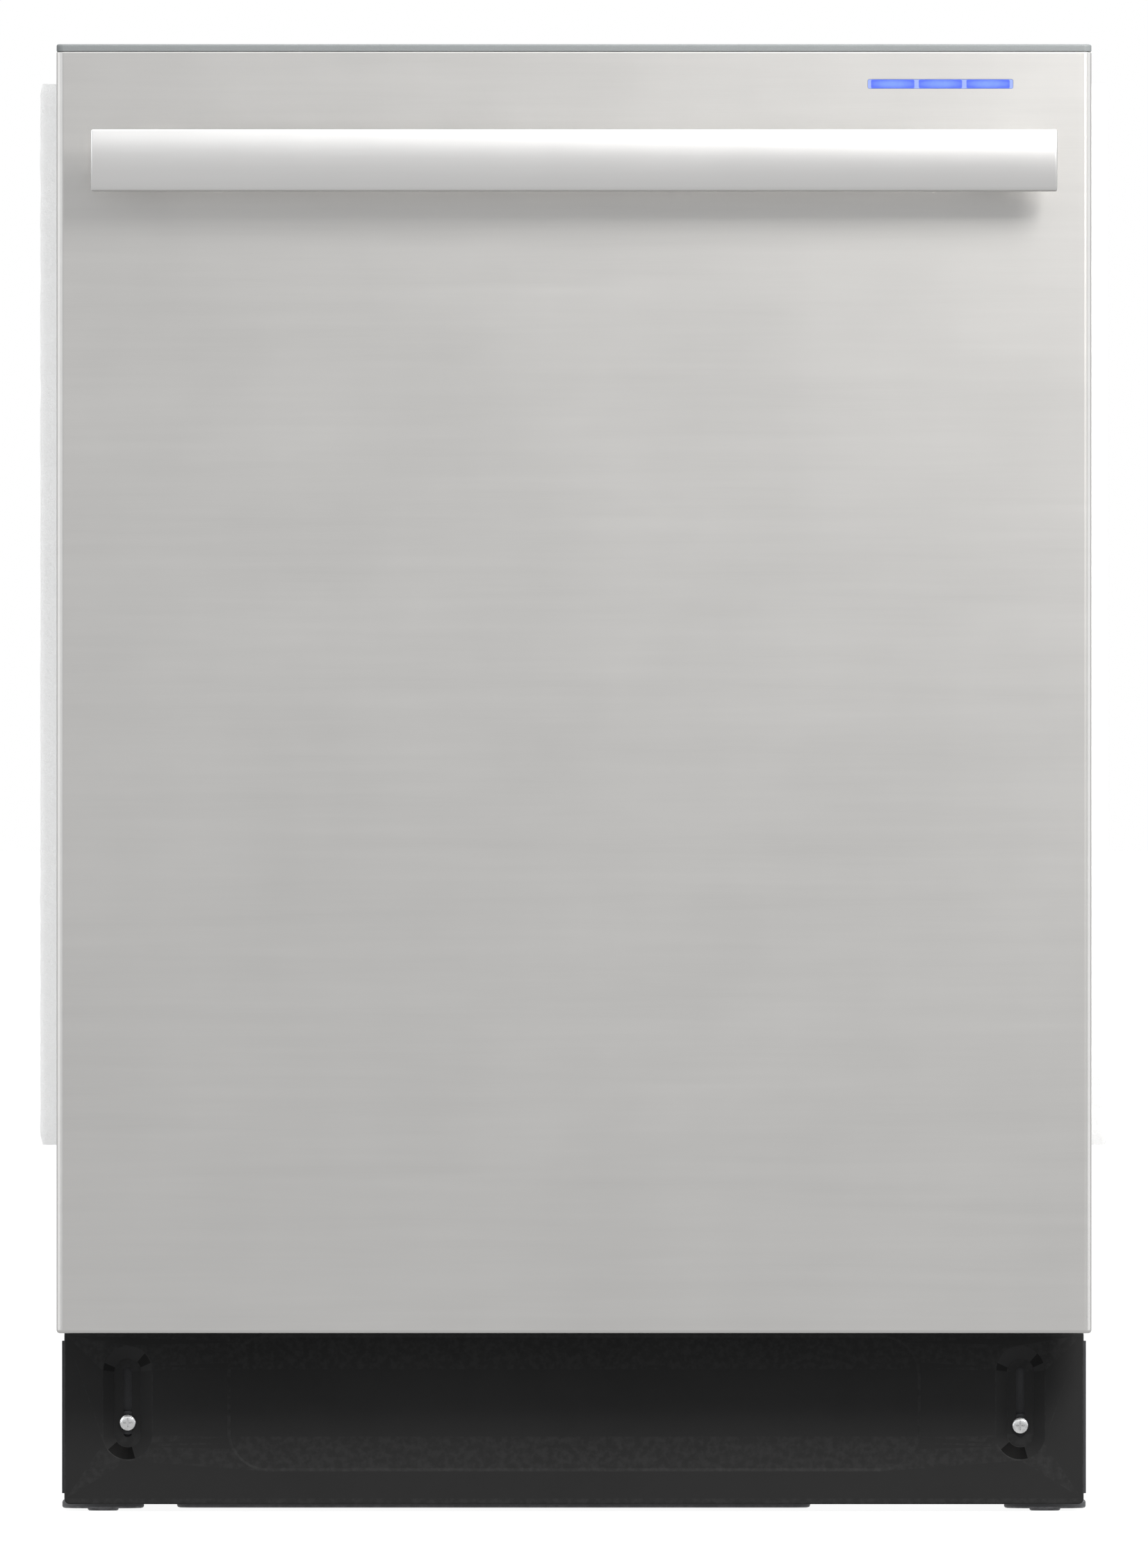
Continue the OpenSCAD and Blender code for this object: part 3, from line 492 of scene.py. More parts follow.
def felt(slot, color, fibre=1.2 * MM, factors=(1.7, 0.55, 1.35), **sockets):
    """Needled fibre: matted strands of several greys with a soft nap."""
    mat = Finish(slot, color, 0.95, Sheen_Weight=0.35, Sheen_Roughness=0.6, **sockets)
    strands = [mat.cloud(fibre, stretch, 6, low=0.4, high=0.6, shift=(k, k, k)) for k,
               stretch in enumerate(((1, 5, 5), (5, 1, 5), (5, 5, 1)))]
    for strand, factor in zip(strands, factors):
        mat.tint(strand, [c * factor for c in color], 0.5)
        mat.relief(strand, 0.35 * MM, 0.7)
    mat.shade(mat.cloud(45 * MM, detail=3), (1 + factors[1]) / 2)
    return mat.relief(mat.cloud(9 * MM, detail=4), 0.8 * MM, 0.5)


def perforated(slot, color, pitch):
    """Steel sheet with a fine regular field of holes, each painted near black as painted shade and sunk by a bump.
    """
    sheet = Finish(slot, color, 0.32, 1.0)
    field = sheet.node("ShaderNodeTexVoronoi",
                       {"Vector": sheet.place((1, 1, 0)), "Scale": 1 / pitch, "Randomness": 0.0})
    hole = sheet.spanned(field.outputs["Distance"], 0.34, 0.28, 0, 1)
    # The holes are painted near black: painted shade standing for the dark seen through them.
    sheet.tint(hole, (0.01, 0.01, 0.01))
    sheet.shade(sheet.cloud(30 * MM, detail=4), 0.85).gloss(hole, 0.2)
    return sheet.relief(sheet.spanned(hole, 0, 1, 1, 0), 0.4 * MM)


def tempered(slot, color):
    """Steel tube tinted by heat in bands along its length."""
    tube = Finish(slot, color, 0.36, 1.0)
    bands = tube.cloud(70 * MM, detail=2, low=0.4, high=0.6)
    scale = tube.cloud(3 * MM, detail=5, low=0.45, high=0.65)
    tube.tint(bands, (0.26, 0.20, 0.14), 0.8).tint(scale, (0.50, 0.49, 0.47), 0.6)
    return tube.gloss(scale, 0.12).relief(scale, 0.04 * MM)


def lit(slot, middle, rim):
    """A diffuser lit from behind, brightest along its middle."""
    lamp = Finish(slot, (0.02, 0.03, 0.08), 0.25, Emission_Strength=1.0)
    where = lamp.node("ShaderNodeTexCoord").outputs["Generated"]
    ends = lamp.node("ShaderNodeSeparateXYZ", {"Vector": where})
    across = lamp.node("ShaderNodeMath", {0: ends.outputs["Z"], 1: 0.5}, operation="SUBTRACT").outputs[0]
    along = lamp.node("ShaderNodeMath", {0: ends.outputs["X"], 1: 0.5}, operation="SUBTRACT").outputs[0]
    up, over = lamp.product(across, across), lamp.product(along, along)
    total = lamp.node("ShaderNodeMath", {0: up, 1: over}, operation="ADD").outputs[0]
    total = lamp.node("ShaderNodeMath", {0: total, 1: lamp.product(lamp.cloud(3 * MM), 0.04)},
                      operation="ADD").outputs[0]
    glow = lamp.node("ShaderNodeMix",
                     {0: lamp.spanned(total, 0.03, 0.30, 0, 1), 6: (*middle, 1), 7: (*rim, 1)},
                     data_type="RGBA")
    lamp.tree.links.new(glow.outputs[2], lamp.shader.inputs["Emission Color"])
    return lamp


def board(slot):
    """A circuit board: green mask over copper runs."""
    mask = Finish(slot, (0.02, 0.13, 0.06), 0.35)
    runs = mask.node("ShaderNodeTexBrick",
                     {"Vector": mask.place(), "Scale": 1 / (12 * MM), "Mortar Size": 0.03,
                      "Color1": (0, 0, 0, 1), "Color2": (0, 0, 0, 1), "Mortar": (1, 1, 1, 1)})
    copper = mask.spanned(runs.outputs["Fac"], 0, 1, 0, 1)
    return mask.tint(copper, (0.06, 0.26, 0.12), 0.8).shade(mask.cloud(20 * MM),
                                                            0.8).relief(copper, 0.04 * MM)


made_finishes = [
    brushed("stainless_door", (0.70, 0.69, 0.675), 0.36),
    brushed("stainless_handle", (0.80, 0.795, 0.79), 0.36, streak=0.6),
    pressed("stainless_liner", (0.68, 0.69, 0.70), 0.28),
    pressed("stainless_tub", (0.66, 0.67, 0.68), 0.30),
    moulded("cap_grey", (0.19, 0.203, 0.207), 0.5, wear=1.04),
    moulded("toe_black", (0.0165, 0.0165, 0.0167), 0.6, grain=0.35 * MM, depth=0.006 * MM, wear=1.4,
            Specular_IOR_Level=0.16),
    moulded("base_grey", (0.040, 0.041, 0.045), 0.55, grain=1.2 * MM, wear=1.9),
    plated("zinc_steel", (0.56, 0.57, 0.58), 0.38),
    plated("chrome_screw", (0.86, 0.86, 0.86), 0.24),
    rubber("seal_rubber", (0.030, 0.030, 0.033), 0.55),
    # The side seal fibre glows white by its own emission: painted light, so the strips read white though they sit
    # in shade behind the door.
    felt("side_seal_white", (0.92, 0.92, 0.91), 0.8 * MM, (1.05, 0.9, 1.0),
         Emission_Color=(1, 1, 1, 1), Emission_Strength=0.5),
    felt("blanket_felt", (0.105, 0.105, 0.112)),
    moulded("pan_plastic", (0.060, 0.060, 0.064), 0.40),
    moulded("sump_plastic", (0.13, 0.14, 0.15), 0.45),
    moulded("pump_black", (0.026, 0.027, 0.030), 0.42, wear=2.0),
    perforated("filter_mesh", (0.60, 0.61, 0.62), 2.2 * MM),
    moulded("filter_plastic", (0.10, 0.14, 0.18), 0.38),
    tempered("heater_steel", (0.36, 0.34, 0.32)),
    moulded("feed_plastic", (0.46, 0.47, 0.48), 0.42),
    moulded("valve_plastic", (0.52, 0.53, 0.54), 0.45, wear=1.2),
    moulded("float_white", (0.76, 0.76, 0.74), 0.35, wear=1.1),
    moulded("arm_grey", (0.27, 0.28, 0.30), 0.34, wear=1.3),
    moulded("foot_plastic", (0.062, 0.063, 0.067), 0.5, grain=1.0 * MM, wear=2.0),
    lit("lens_blue", (0.19, 0.31, 1.0), (0.08, 0.14, 0.84)),
    board("board_green"),
    rubber("bitumen_pad", (0.022, 0.021, 0.020), 0.7),
    moulded("dispenser_grey", (0.55, 0.57, 0.58), 0.3, wear=1.15),
    moulded("dispenser_lid_grey", (0.46, 0.49, 0.50), 0.28, wear=1.2),
    moulded("rinse_blue", (0.035, 0.10, 0.26), 0.32, wear=1.5),
    moulded("button_grey", (0.26, 0.28, 0.29), 0.4, wear=1.4),
    moulded("rack_grey", (0.30, 0.32, 0.34), 0.36, grain=0.9 * MM, depth=0.02 * MM),
    moulded("basket_grey", (0.24, 0.26, 0.28), 0.4),
    moulded("wheel_grey", (0.16, 0.17, 0.18), 0.42),
]
finishes = {finish.slot: finish.made for finish in made_finishes}


# ---- Places taken from the frame ----

def span(node, axis):
    """The range of a node along x, y or z."""
    low, high = node_box[node]
    return low["xyz".index(axis)], high["xyz".index(axis)]


def middle(node, axis):
    """The middle of a node along x, y or z."""
    return sum(span(node, axis)) / 2


joint_at = {joint["name"]: joint.get("pos_m") for joint in frame["joints"]}
front_y = span("handle_bar", "y")[0]
door_y = span("door_panel", "y")[0]
door_hw = span("door_panel", "x")[1]
door_z = span("door_panel", "z")
liner_y = span("door_liner", "y")[1]
flange_y, tub_y1 = span("tub", "y")
toe_y = span("toe_kick", "y")[0]
toe_hw = span("toe_kick", "x")[1]
arm_y = middle("sump", "y")
floor_z = span("filter_plate", "z")[1]
tub_in = span("rail_tracks", "x")[1]


# ---- Door ----

def door_skin():
    """The outer skin: one sheet bent round the sides and folded in along the top and bottom."""
    wall, corner_r, fold = 1 * MM, 4.5 * MM, 2 * MM
    back = span("door_panel", "y")[1]
    low, high = door_z

    def plan(inset):
        r = corner_r - min(inset, corner_r - 1 * MM)
        hw = door_hw - inset
        front = door_y + inset
        left = arc((-hw + r, front + r), r, 180, 270, 10)
        right = arc((hw - r, front + r), r, 270, 360, 10)
        return [(-hw, back), *left, *right, (hw, back)]

    stations = [(12 * MM, low), (fold, low)]
    stations += [(fold * (1 - sin(a)), low + fold * (1 - cos(a)))
                 for a in (radians(15 * k) for k in range(1, 7))]
    stations += [(0, high - 0.9 * MM), (0.2 * MM, high - 0.3 * MM), (0.9 * MM, high), (9 * MM, high)]
    shape = Shape()
    shape.skin([lay(plan(inset), "xy", z) for inset, z in stations], closed=False, ends=False)
    sheet = thick(shape.to_mesh("door_skin"), wall)
    window = Shape()
    u, v = span("status_lens", "x"), span("status_lens", "z")
    window.skin([lay(shrunk(rounded(u, v, 1 * MM), -0.1 * MM), "xz", y)
                 for y in (door_y - MM, door_y + 3 * MM)])
    piece(cut(sheet, window), "door_skin", "door", "stainless_door", ("door_panel",), sharp=50)


def status_light():
    """Three lit segments in a smoky frame, nearly flush with the skin."""
    u, v = span("status_lens", "x"), span("status_lens", "z")
    back = span("status_lens", "y")[1]
    frame_shape = Shape()
    frame_shape.slab(rounded(u, v, 0.9 * MM), "xz", (door_y + 0.35 * MM, back), 0.3 * MM)
    piece(frame_shape, "status_light_frame", "door", "lens_blue", ("status_lens",)).data.materials[0] = smoky
    end, gap = 2 * MM, 2.6 * MM
    length = (u[1] - u[0] - 2 * end - 2 * gap) / 3
    for k in range(3):
        start = u[0] + end + k * (length + gap)
        shape = Shape()
        outline = rounded((start, start + length), (v[0] + 0.25 * MM, v[1] - 0.25 * MM), 0.8 * MM)
        shape.slab(outline, "xz", (door_y + 0.05 * MM, door_y + 2 * MM), 0.3 * MM)
        piece(shape, f"status_segment_{k + 1}", "door", "lens_blue")


def handle():
    """The convex bar on its two flared posts."""
    x, y, z = (span("handle_bar", axis) for axis in "xyz")
    bulge_r, apex_z = 60 * MM, middle("handle_bar", "z") + 3 * MM
    edge, chamfer = 1.1 * MM, 1.3 * MM

    def front(height):
        return front_y + bulge_r - sqrt(bulge_r ** 2 - (height - apex_z) ** 2)

    heights = [z[0] + chamfer + (z[1] - edge - z[0] - chamfer) * k / 24 for k in range(25)]
    bar = [(front(h), h) for h in heights]
    bar += [(u, v) for u, v in arc((front(heights[-1]) + edge, z[1] - edge), edge, 180, 90, 4)][1:]
    bar += arc((y[1] - MM, z[1] - MM), MM, 90, 0, 3) + arc((y[1] - MM, z[0] + MM), MM, 0, -90, 3)
    bar += [(front(z[0]) + 1.1 * MM, z[0])]
    shape = Shape()
    ends = mm((0, 1.2), (0.25, 0.5), (0.6, 0.15), (1.3, 0))
    rings = [lay(shrunk(bar, inset), "yz", x[0] + step) for step, inset in ends]
    rings += [lay(shrunk(bar, inset), "yz", x[1] - step) for step, inset in reversed(ends)]
    shape.skin(rings)
    piece(shape, "handle_bar_finished", "door", "stainless_handle", ("handle_bar",), sharp=50)

    posts = Shape()
    r = 8 * MM
    post_x = span("handle_posts", "x")[1] - 11 * MM
    foot = [(r + 3 * MM, 0), (r + 3 * MM, -1.2 * MM), (r + 2.2 * MM, -2 * MM)]
    neck = [(r + 2.2 * MM * (1 - sin(a)), -2 * MM - 4 * MM * (1 - cos(a)))
            for a in (radians(15 * k) for k in range(1, 7))]
    top = [(r, y[1] - door_y + 0.8 * MM), (r + 1.5 * MM, y[1] - door_y)]
    for side in (-1, 1):
        posts.turned([(0, 0), *foot, *neck, *top, (0, y[1] - door_y)],
                     (side * post_x, door_y, middle("handle_posts", "z")), "y")
    piece(posts, "handle_posts_turned", "door", "stainless_handle", ("handle_posts",))


BUTTONS = ["button_power", "button_cycle", "button_heat", "button_delay", "button_start"]


def control_cap():
    """The top cap: a thin lid over the door with the button wells cut through it."""
    y = span("control_cap", "y")
    low, high = door_z[1], span("control_cap", "z")[1]
    r = 4.5 * MM
    hw = door_hw
    plan = [(hw, y[1]), (-hw, y[1])] + arc((-hw + r, y[0] + r), r, 180, 270, 8)
    plan += arc((hw - r, y[0] + r), r, 270, 360, 8)
    lid = Shape()
    seam, crown = 0.35 * MM, 1.2 * MM
    levels = [(0.5 * MM, low + 0.02 * MM), (0.15 * MM, low + 0.15 * MM), (0, low + seam)]
    levels += [(crown * (1 - cos(a)), high - crown * (1 - sin(a)))
               for a in (radians(15 * k) for k in range(7))]
    lid.skin(stacked(plan, "xy", levels))
    wells = Shape()
    for name in BUTTONS:
        u, v = span(name, "x"), span(name, "y")
        outline = shrunk(rounded(u, v, 1.5 * MM), -0.4 * MM)
        wells.skin([lay(outline, "xy", z) for z in (low - MM, high + MM)])
    shell = Shape()
    shell.bm.from_mesh(cut(lid.to_mesh("lid"), wells))
    inner_x = span("door_liner", "x")[1] - 23 * MM
    floor, wall = span("control_cap", "z")[0], 2 * MM
    for side in (-1, 1):
        shell.block(about(side * inner_x, MM), (y[0] + 8 * MM, y[1] - 8 * MM), (floor, low))
    for edge_y in (y[0] + 9 * MM, y[1] - 9 * MM):
        shell.block((-inner_x, -18 * MM), about(edge_y, wall / 2), (floor, low))
        shell.block((18 * MM, inner_x), about(edge_y, wall / 2), (floor, low))
    piece(shell, "control_cap_moulded", "door", "cap_grey", ("control_cap",))


def buttons():
    """Five keys with a shallow finger dish, each with its own raised mark."""
    for k, name in enumerate(BUTTONS):
        x, y, z = (span(name, axis) for axis in "xyz")
        shape = Shape()
        outline = rounded(x, y, 1.4 * MM, 5)
        levels = [(0.2 * MM, z[0]), (0, z[0] + 0.3 * MM), (0, z[1] - 0.7 * MM), (0.15 * MM, z[1] - 0.25 * MM),
                  (0.6 * MM, z[1]), (1.4 * MM, z[1] - 0.05 * MM), (3 * MM, z[1] - 0.35 * MM),
                  (4.5 * MM, z[1] - 0.5 * MM)]
        shape.skin(stacked(outline, "xy", levels))
        centre = (middle(name, "x"), middle(name, "y"))
        for dot in range(k + 1):
            spot = (centre[0] + (dot - k / 2) * 2.4 * MM, centre[1], z[1] - 0.55 * MM)
            shape.turned(mm((0, -0.2), (0.7, -0.2), (0.7, 0.25), (0.4, 0.4), (0, 0.42)), spot, steps=16)
        piece(shape, name + "_key", name, "button_grey", (name,))


# ---- Toe-kick and base ----

def toe_kick():
    """The dark plate with its raised border and a bevelled recess for each screw, whose slopes carry painted light
    and shade.
    """
    z = span("toe_kick", "z")
    outline = rounded((-toe_hw, toe_hw), z, 3.3 * MM)
    back, boss = toe_y + 3 * MM, toe_y + 7 * MM
    pocket_x, pocket_z = 262 * MM, 63.8 * MM
    shape = Shape()
    skirt = shape.skin(stacked(outline, "xz", mm((1.0, 0), (0.45, 0.12), (0.12, 0.45), (0, 1.0), (0, 3)),
                               toe_y), ends=False)
    field = rounded(mm(-203.6, 203.6), mm(23.5, 104), 24 * MM, 10)
    step = 0.5 * MM
    panel = shape.skin(stacked(field, "xz",
                               ((0, 0), mm(0.5, 0.1), (1.5 * MM, step - 0.1 * MM), (2 * MM, step)), toe_y),
                       ends=False)
    shape.fill(panel[-1])
    front_holes, back_holes = [panel[0]], []
    for side in (-1, 1):
        def slot(width, height, rise=0):
            r = width / 2 - 0.01 * MM
            u = about(side * pocket_x, width / 2)
            return rounded(u, about(pocket_z + rise, height / 2), r, 10)
        mouth = slot(28.7 * MM, 66.8 * MM)
        floor = slot(15 * MM, 51.6 * MM)
        opening = slot(4.95 * MM, 41.2 * MM, 0.4 * MM)
        slope = shape.skin([lay(shrunk(mouth, -0.5 * MM), "xz", toe_y),
                            lay(shrunk(mouth, -0.12 * MM), "xz", toe_y + 0.15 * MM),
                            lay(shrunk(mouth, 0.2 * MM), "xz", toe_y + 0.5 * MM),
                            lay(shrunk(floor, -0.4 * MM), "xz", toe_y + 4.7 * MM),
                            lay(floor, "xz", toe_y + 5 * MM)], ends=False)
        way = shape.skin([lay(opening, "xz", toe_y + 5 * MM), lay(opening, "xz", boss)], ends=False)
        shape.fill(slope[-1], [way[0]])
        rim = shape.skin([lay(slot(32.7 * MM, 70.8 * MM), "xz", d) for d in (boss, back)], ends=False)
        shape.fill(rim[0], [way[1]])
        front_holes.append(slope[0])
        back_holes.append(rim[1])
    shape.fill(skirt[0], front_holes)
    shape.fill(skirt[-1], back_holes)
    for side in (-1, 1):
        u = sided(side, toe_hw, toe_hw - 3 * MM)
        shape.block(u, (back - MM, span("toe_kick", "y")[1]), (z[0] + 4 * MM, z[1] - 4 * MM), 0.4 * MM)
    made = piece(shape, "toe_kick_moulded", "cabinet", "toe_black", ("toe_kick",), sharp=30)
    # Lit and shaded copies of the toe-kick plastic for the recess slopes: a painted highlight on the upper arc,
    # painted half shade on parts of it, and a near-black painted shadow on the lower sector.
    painted_tones = {"light": toe_painted_tone("pocket_painted_highlight", 0.026), "mid": toe_painted_tone("pocket_painted_half_shade", 0.008),
             "deep": toe_painted_tone("pocket_painted_shadow", 0.0008)}
    for painted_tone in painted_tones.values():
        made.data.materials.append(painted_tone)
    rise = (66.8 - 28.7) / 2 * MM
    for face in made.data.polygons:
        x, y, h = face.center
        if not toe_y + 0.5 * MM < y < toe_y + 4.8 * MM or abs(abs(x) - pocket_x) > 16 * MM:
            continue
        x -= copysign(pocket_x, x)
        turn = degrees(atan2(h - pocket_z - (rise if h > pocket_z else -rise), x)) % 360
        # Upper arc: painted highlight, or painted half shade at the listed angles. Lower sector: painted shadow.
        if h > pocket_z + rise:
            face.material_index = 2 if 12 < turn < 45 or turn > 160 else 1
        elif 212 < turn < 292 and h < pocket_z - rise:
            face.material_index = 3


def toe_painted_tone(name, level):
    """The toe-kick's plastic made lighter or darker: painted light and shade for a facet of a recess."""
    return moulded(name, (level, level, level * 1.02), 0.6, grain=0.35 * MM, depth=0.006 * MM, wear=1.2,
                   Specular_IOR_Level=0.12).made


def cross_recess(head_x, head_z, face, across):
    """The space of one blade of a cross-head driver's tip."""
    tip = Shape()
    wide, thin, deep = 2.7 * MM, 0.42 * MM, 1.7 * MM
    rings = []
    for d, w, t in ((-0.8 * MM, wide * 1.25, thin * 1.2), (0, wide, thin), (deep, wide * 0.35, thin * 0.6)):
        corners = [(w, t), (-w, t), (-w, -t), (w, -t)]
        if across:
            corners = [(-v, u) for u, v in corners]
        rings.append([(head_x + u, face + d, head_z + v) for u, v in corners])
    tip.skin(rings)
    return tip


def toe_kick_screws():
    """Two pan-head screws with cross recesses and real threads."""
    y = span("toe_kick_screws", "y")
    face = y[0]
    both = Shape()
    for x, z in ((span("toe_kick_screws", "x")[0] + 5 * MM, 52.1 * MM),
                 (span("toe_kick_screws", "x")[1] - 5 * MM, 50.4 * MM)):
        head = Shape()
        head.turned(mm((0, 2.4), (4.9, 2.4), (5, 2.2), (5, 1.3), (4.5, 0.6), (3.4, 0.15), (1.8, 0.02),
                       (0, 0)), (x, face, z), "y", 40)
        mesh = head.to_mesh("head")
        for across in (False, True):
            mesh = cut(mesh, cross_recess(x, z, face + 0.02 * MM, across))
        both.bm.from_mesh(mesh)
        both.skin(thread((x, face + 2.4 * MM, z), "y", 1.45 * MM, 2 * MM, 1.4 * MM, y[1] - face - 2.4 * MM))
    piece(both, "toe_kick_screws_threaded", "cabinet", "chrome_screw", ("toe_kick_screws",))


def thread(place, axis, core, crest, pitch, length, sides=20):
    """Rings of a screw thread that winds along an axis from a place."""
    steps = max(6, round(length / pitch * 6))
    rings = []
    for i in range(steps + 1):
        along = length * i / steps
        ring = []
        for k in range(sides):
            a = 2 * pi * k / sides
            phase = (along / pitch + k / sides) % 1
            r = core + (crest - core) * (1 - abs(2 * phase - 1))
            u, v = r * cos(a), r * sin(a)
            local = {"y": (u, along, v), "z": (u, v, along)}[axis]
            ring.append(tuple(p + q for p, q in zip(place, local)))
        rings.append(ring)
    return rings


def foot(name):
    """A levelling leg: a ribbed disc on a threaded screw with a spanner hexagon."""
    x, y = middle(name, "x"), middle(name, "y")
    top = span(name, "z")[1]
    shape = Shape()
    r = 24 * MM
    shape.turned([(0, 0), (8.2 * MM, 0), mm(9, 0.6), mm(9.2, 2.4), mm(12, 2.8), mm(20, 2.2),
                  (r - 1.6 * MM, 1.5 * MM), (r - 0.5 * MM, 1.8 * MM), (r, 2.6 * MM), (r, 5.2 * MM),
                  (r - 0.6 * MM, 6.3 * MM), (r - 2.2 * MM, 7 * MM), mm(14, 7.6), mm(10.4, 8.6), mm(9.4, 11),
                  (0, 11 * MM)], (x, y, 0), steps=64)
    inner, outer = 9 * MM, r - 1.4 * MM
    radii = (inner, (inner + outer) / 2, outer)
    radial_bars(shape, (x, y), radii, mm(1.5, 3.5), 0.8 * MM, 12, 15)
    hexagon = [(x + 8.6 * MM * cos(radians(60 * k)), y + 8.6 * MM * sin(radians(60 * k))) for k in range(6)]
    shape.slab(hexagon, "xy", mm(10.5, 17), 0.5 * MM)
    shape.skin(thread((x, y, 16.5 * MM), "z", 5.1 * MM, 6 * MM, 2.2 * MM, top - 16.5 * MM))
    piece(shape, name + "_ribbed", name, "foot_plastic", (name,))


def drip_pan():
    """A shallow tray with round corners, a rolled rim and stiffening ribs."""
    x, y, z = (span("drip_pan", axis) for axis in "xyz")
    rim_z = 14 * MM
    wall = 2 * MM
    outline = rounded(x, y, 12 * MM, 8)
    shape = Shape()
    levels = [(1.8 * MM, z[0]), (0.5 * MM, z[0] + 0.4 * MM), (0, z[0] + 1.6 * MM), (0, rim_z - 1.2 * MM),
              (0.3 * MM, rim_z - 0.3 * MM), (0.9 * MM, rim_z), (1.6 * MM, rim_z - 0.3 * MM),
              (wall, rim_z - 1 * MM), (wall, z[0] + 3.4 * MM), (wall + 1.1 * MM, z[0] + 2.3 * MM)]
    shape.skin(stacked(outline, "xy", levels))
    for rib_x in spread(x[0] + 60 * MM, x[1] - 60 * MM, 64 * MM):
        shape.block(about(rib_x, MM), (y[0] + 14 * MM, y[1] - 14 * MM), (z[0] + 1.8 * MM, z[0] + 4.6 * MM))
    for post_x in (x[0] + 30 * MM, x[1] - 30 * MM):
        for post_y in mm(-138, 205):
            shape.block(about(post_x, 4 * MM), about(post_y, 4 * MM), (z[0] + 1.5 * MM, z[1]), 0.8 * MM)
    piece(shape, "drip_pan_formed", "cabinet", "pan_plastic", ("drip_pan",))


def side_seals():
    """A strip of white fibre down each side of the tub's mouth, with a soft uneven edge."""
    x, y, z = (span("side_seals", axis) for axis in "xyz")
    inner = span("tub", "x")[1] - 4 * MM
    strips = Shape()
    heights = spread(z[0], z[1], 6 * MM)
    rings = []
    for i, h in enumerate(heights):
        sway = 0.5 * MM * noise.noise(Vector((3.1, 0, h * 60)))
        ends = 1.5 * MM if i in (0, len(heights) - 1) else 0
        outline = shrunk(rounded((inner, x[1] - 0.6 * MM + sway), y, 3.5 * MM, 4), ends)
        rings.append(lay(outline, "xy", h))
    strips.skin(rings)
    strips.mirror_x()
    piece(strips, "side_seals_fibre", "cabinet", "side_seal_white", ("side_seals",))


# ---- Tub and its seals ----

def tub():
    """The drawn steel tub: round corners, a flanged mouth, pressed ribs and its floor opening."""
    floor_in, top_in = floor_z, span("tub", "z")[1] - 14 * MM
    wall, corner_r = 2 * MM, 16 * MM
    inner = rounded((-tub_in, tub_in), (floor_in, top_in), corner_r, 8)
    outer = rounded((-tub_in - wall, tub_in + wall), (floor_in - wall, top_in + wall), corner_r + wall, 8)
    flange = rounded(span("tub", "x"), span("tub", "z"), 10 * MM, 8)
    back = tub_y1 - wall

    def rounding(outline, r, far):
        return [lay(shrunk(outline, r * (1 - cos(a))), "xz", far - r * (1 - sin(a)))
                for a in (radians(15 * k) for k in range(6, -1, -1))]

    rings = rounding(inner, corner_r, back)
    rings += [lay(inner, "xz", flange_y + 1.5 * MM), lay(shrunk(inner, -0.5 * MM), "xz", flange_y + 0.4 * MM),
              lay(shrunk(inner, -1.4 * MM), "xz", flange_y)]
    rings += stacked(flange, "xz", ((0.4 * MM, 0), (0, 0.4 * MM), (0, wall - 0.4 * MM), (0.4 * MM, wall)),
                     flange_y)
    rings += [lay(outer, "xz", flange_y + wall)] + rounding(outer, corner_r + wall, tub_y1)[::-1]
    shape = Shape()
    shape.skin(rings)
    away = Shape()
    away.turned(mm((0, -4), (128, -4), (128, 4), (0, 4)), (0, arm_y, floor_in - MM), steps=96)
    for x in mm(-19.65, 19.65):
        away.turned(mm((0, -4), (7, -4), (7, 4), (0, 4)),
                    (x, span("heater_element", "y")[1] - 5 * MM, floor_in - MM), steps=24)
    for side in (-1, 1):
        for height in mm(300, 345, 620, 665):
            rib = rounded(mm(-150, 240), about(height, 6 * MM), 5.9 * MM, 6)
            away.skin([lay(shrunk(rib, inset), "yz", side * (tub_in + d)) for inset,
                       d in mm((-1, -0.6), (0.6, 0.4), (2, 1.0))])
    made = Shape()
    made.bm.from_mesh(cut(shape.to_mesh("tub"), away))
    track_in = span("wheels_front", "x")[1] - 17 * MM
    for side in (-1, 1):
        x = sided(side, track_in, tub_in + MM)
        made.block(x, (flange_y + 2 * MM, back - 2 * MM), (floor_in - MM, floor_in + 4 * MM), 1.6 * MM, 3)
    stem = (middle("overfill_float", "x"), middle("overfill_float", "y"), floor_in)
    made.turned(mm((0, -1), (9, -1), (8, 0.4), (6, 1.5), (6, 17), (5, 18), (0, 18)), stem, steps=32)
    piece(made, "tub_drawn", "cabinet", "stainless_tub", ("tub",), sharp=32)


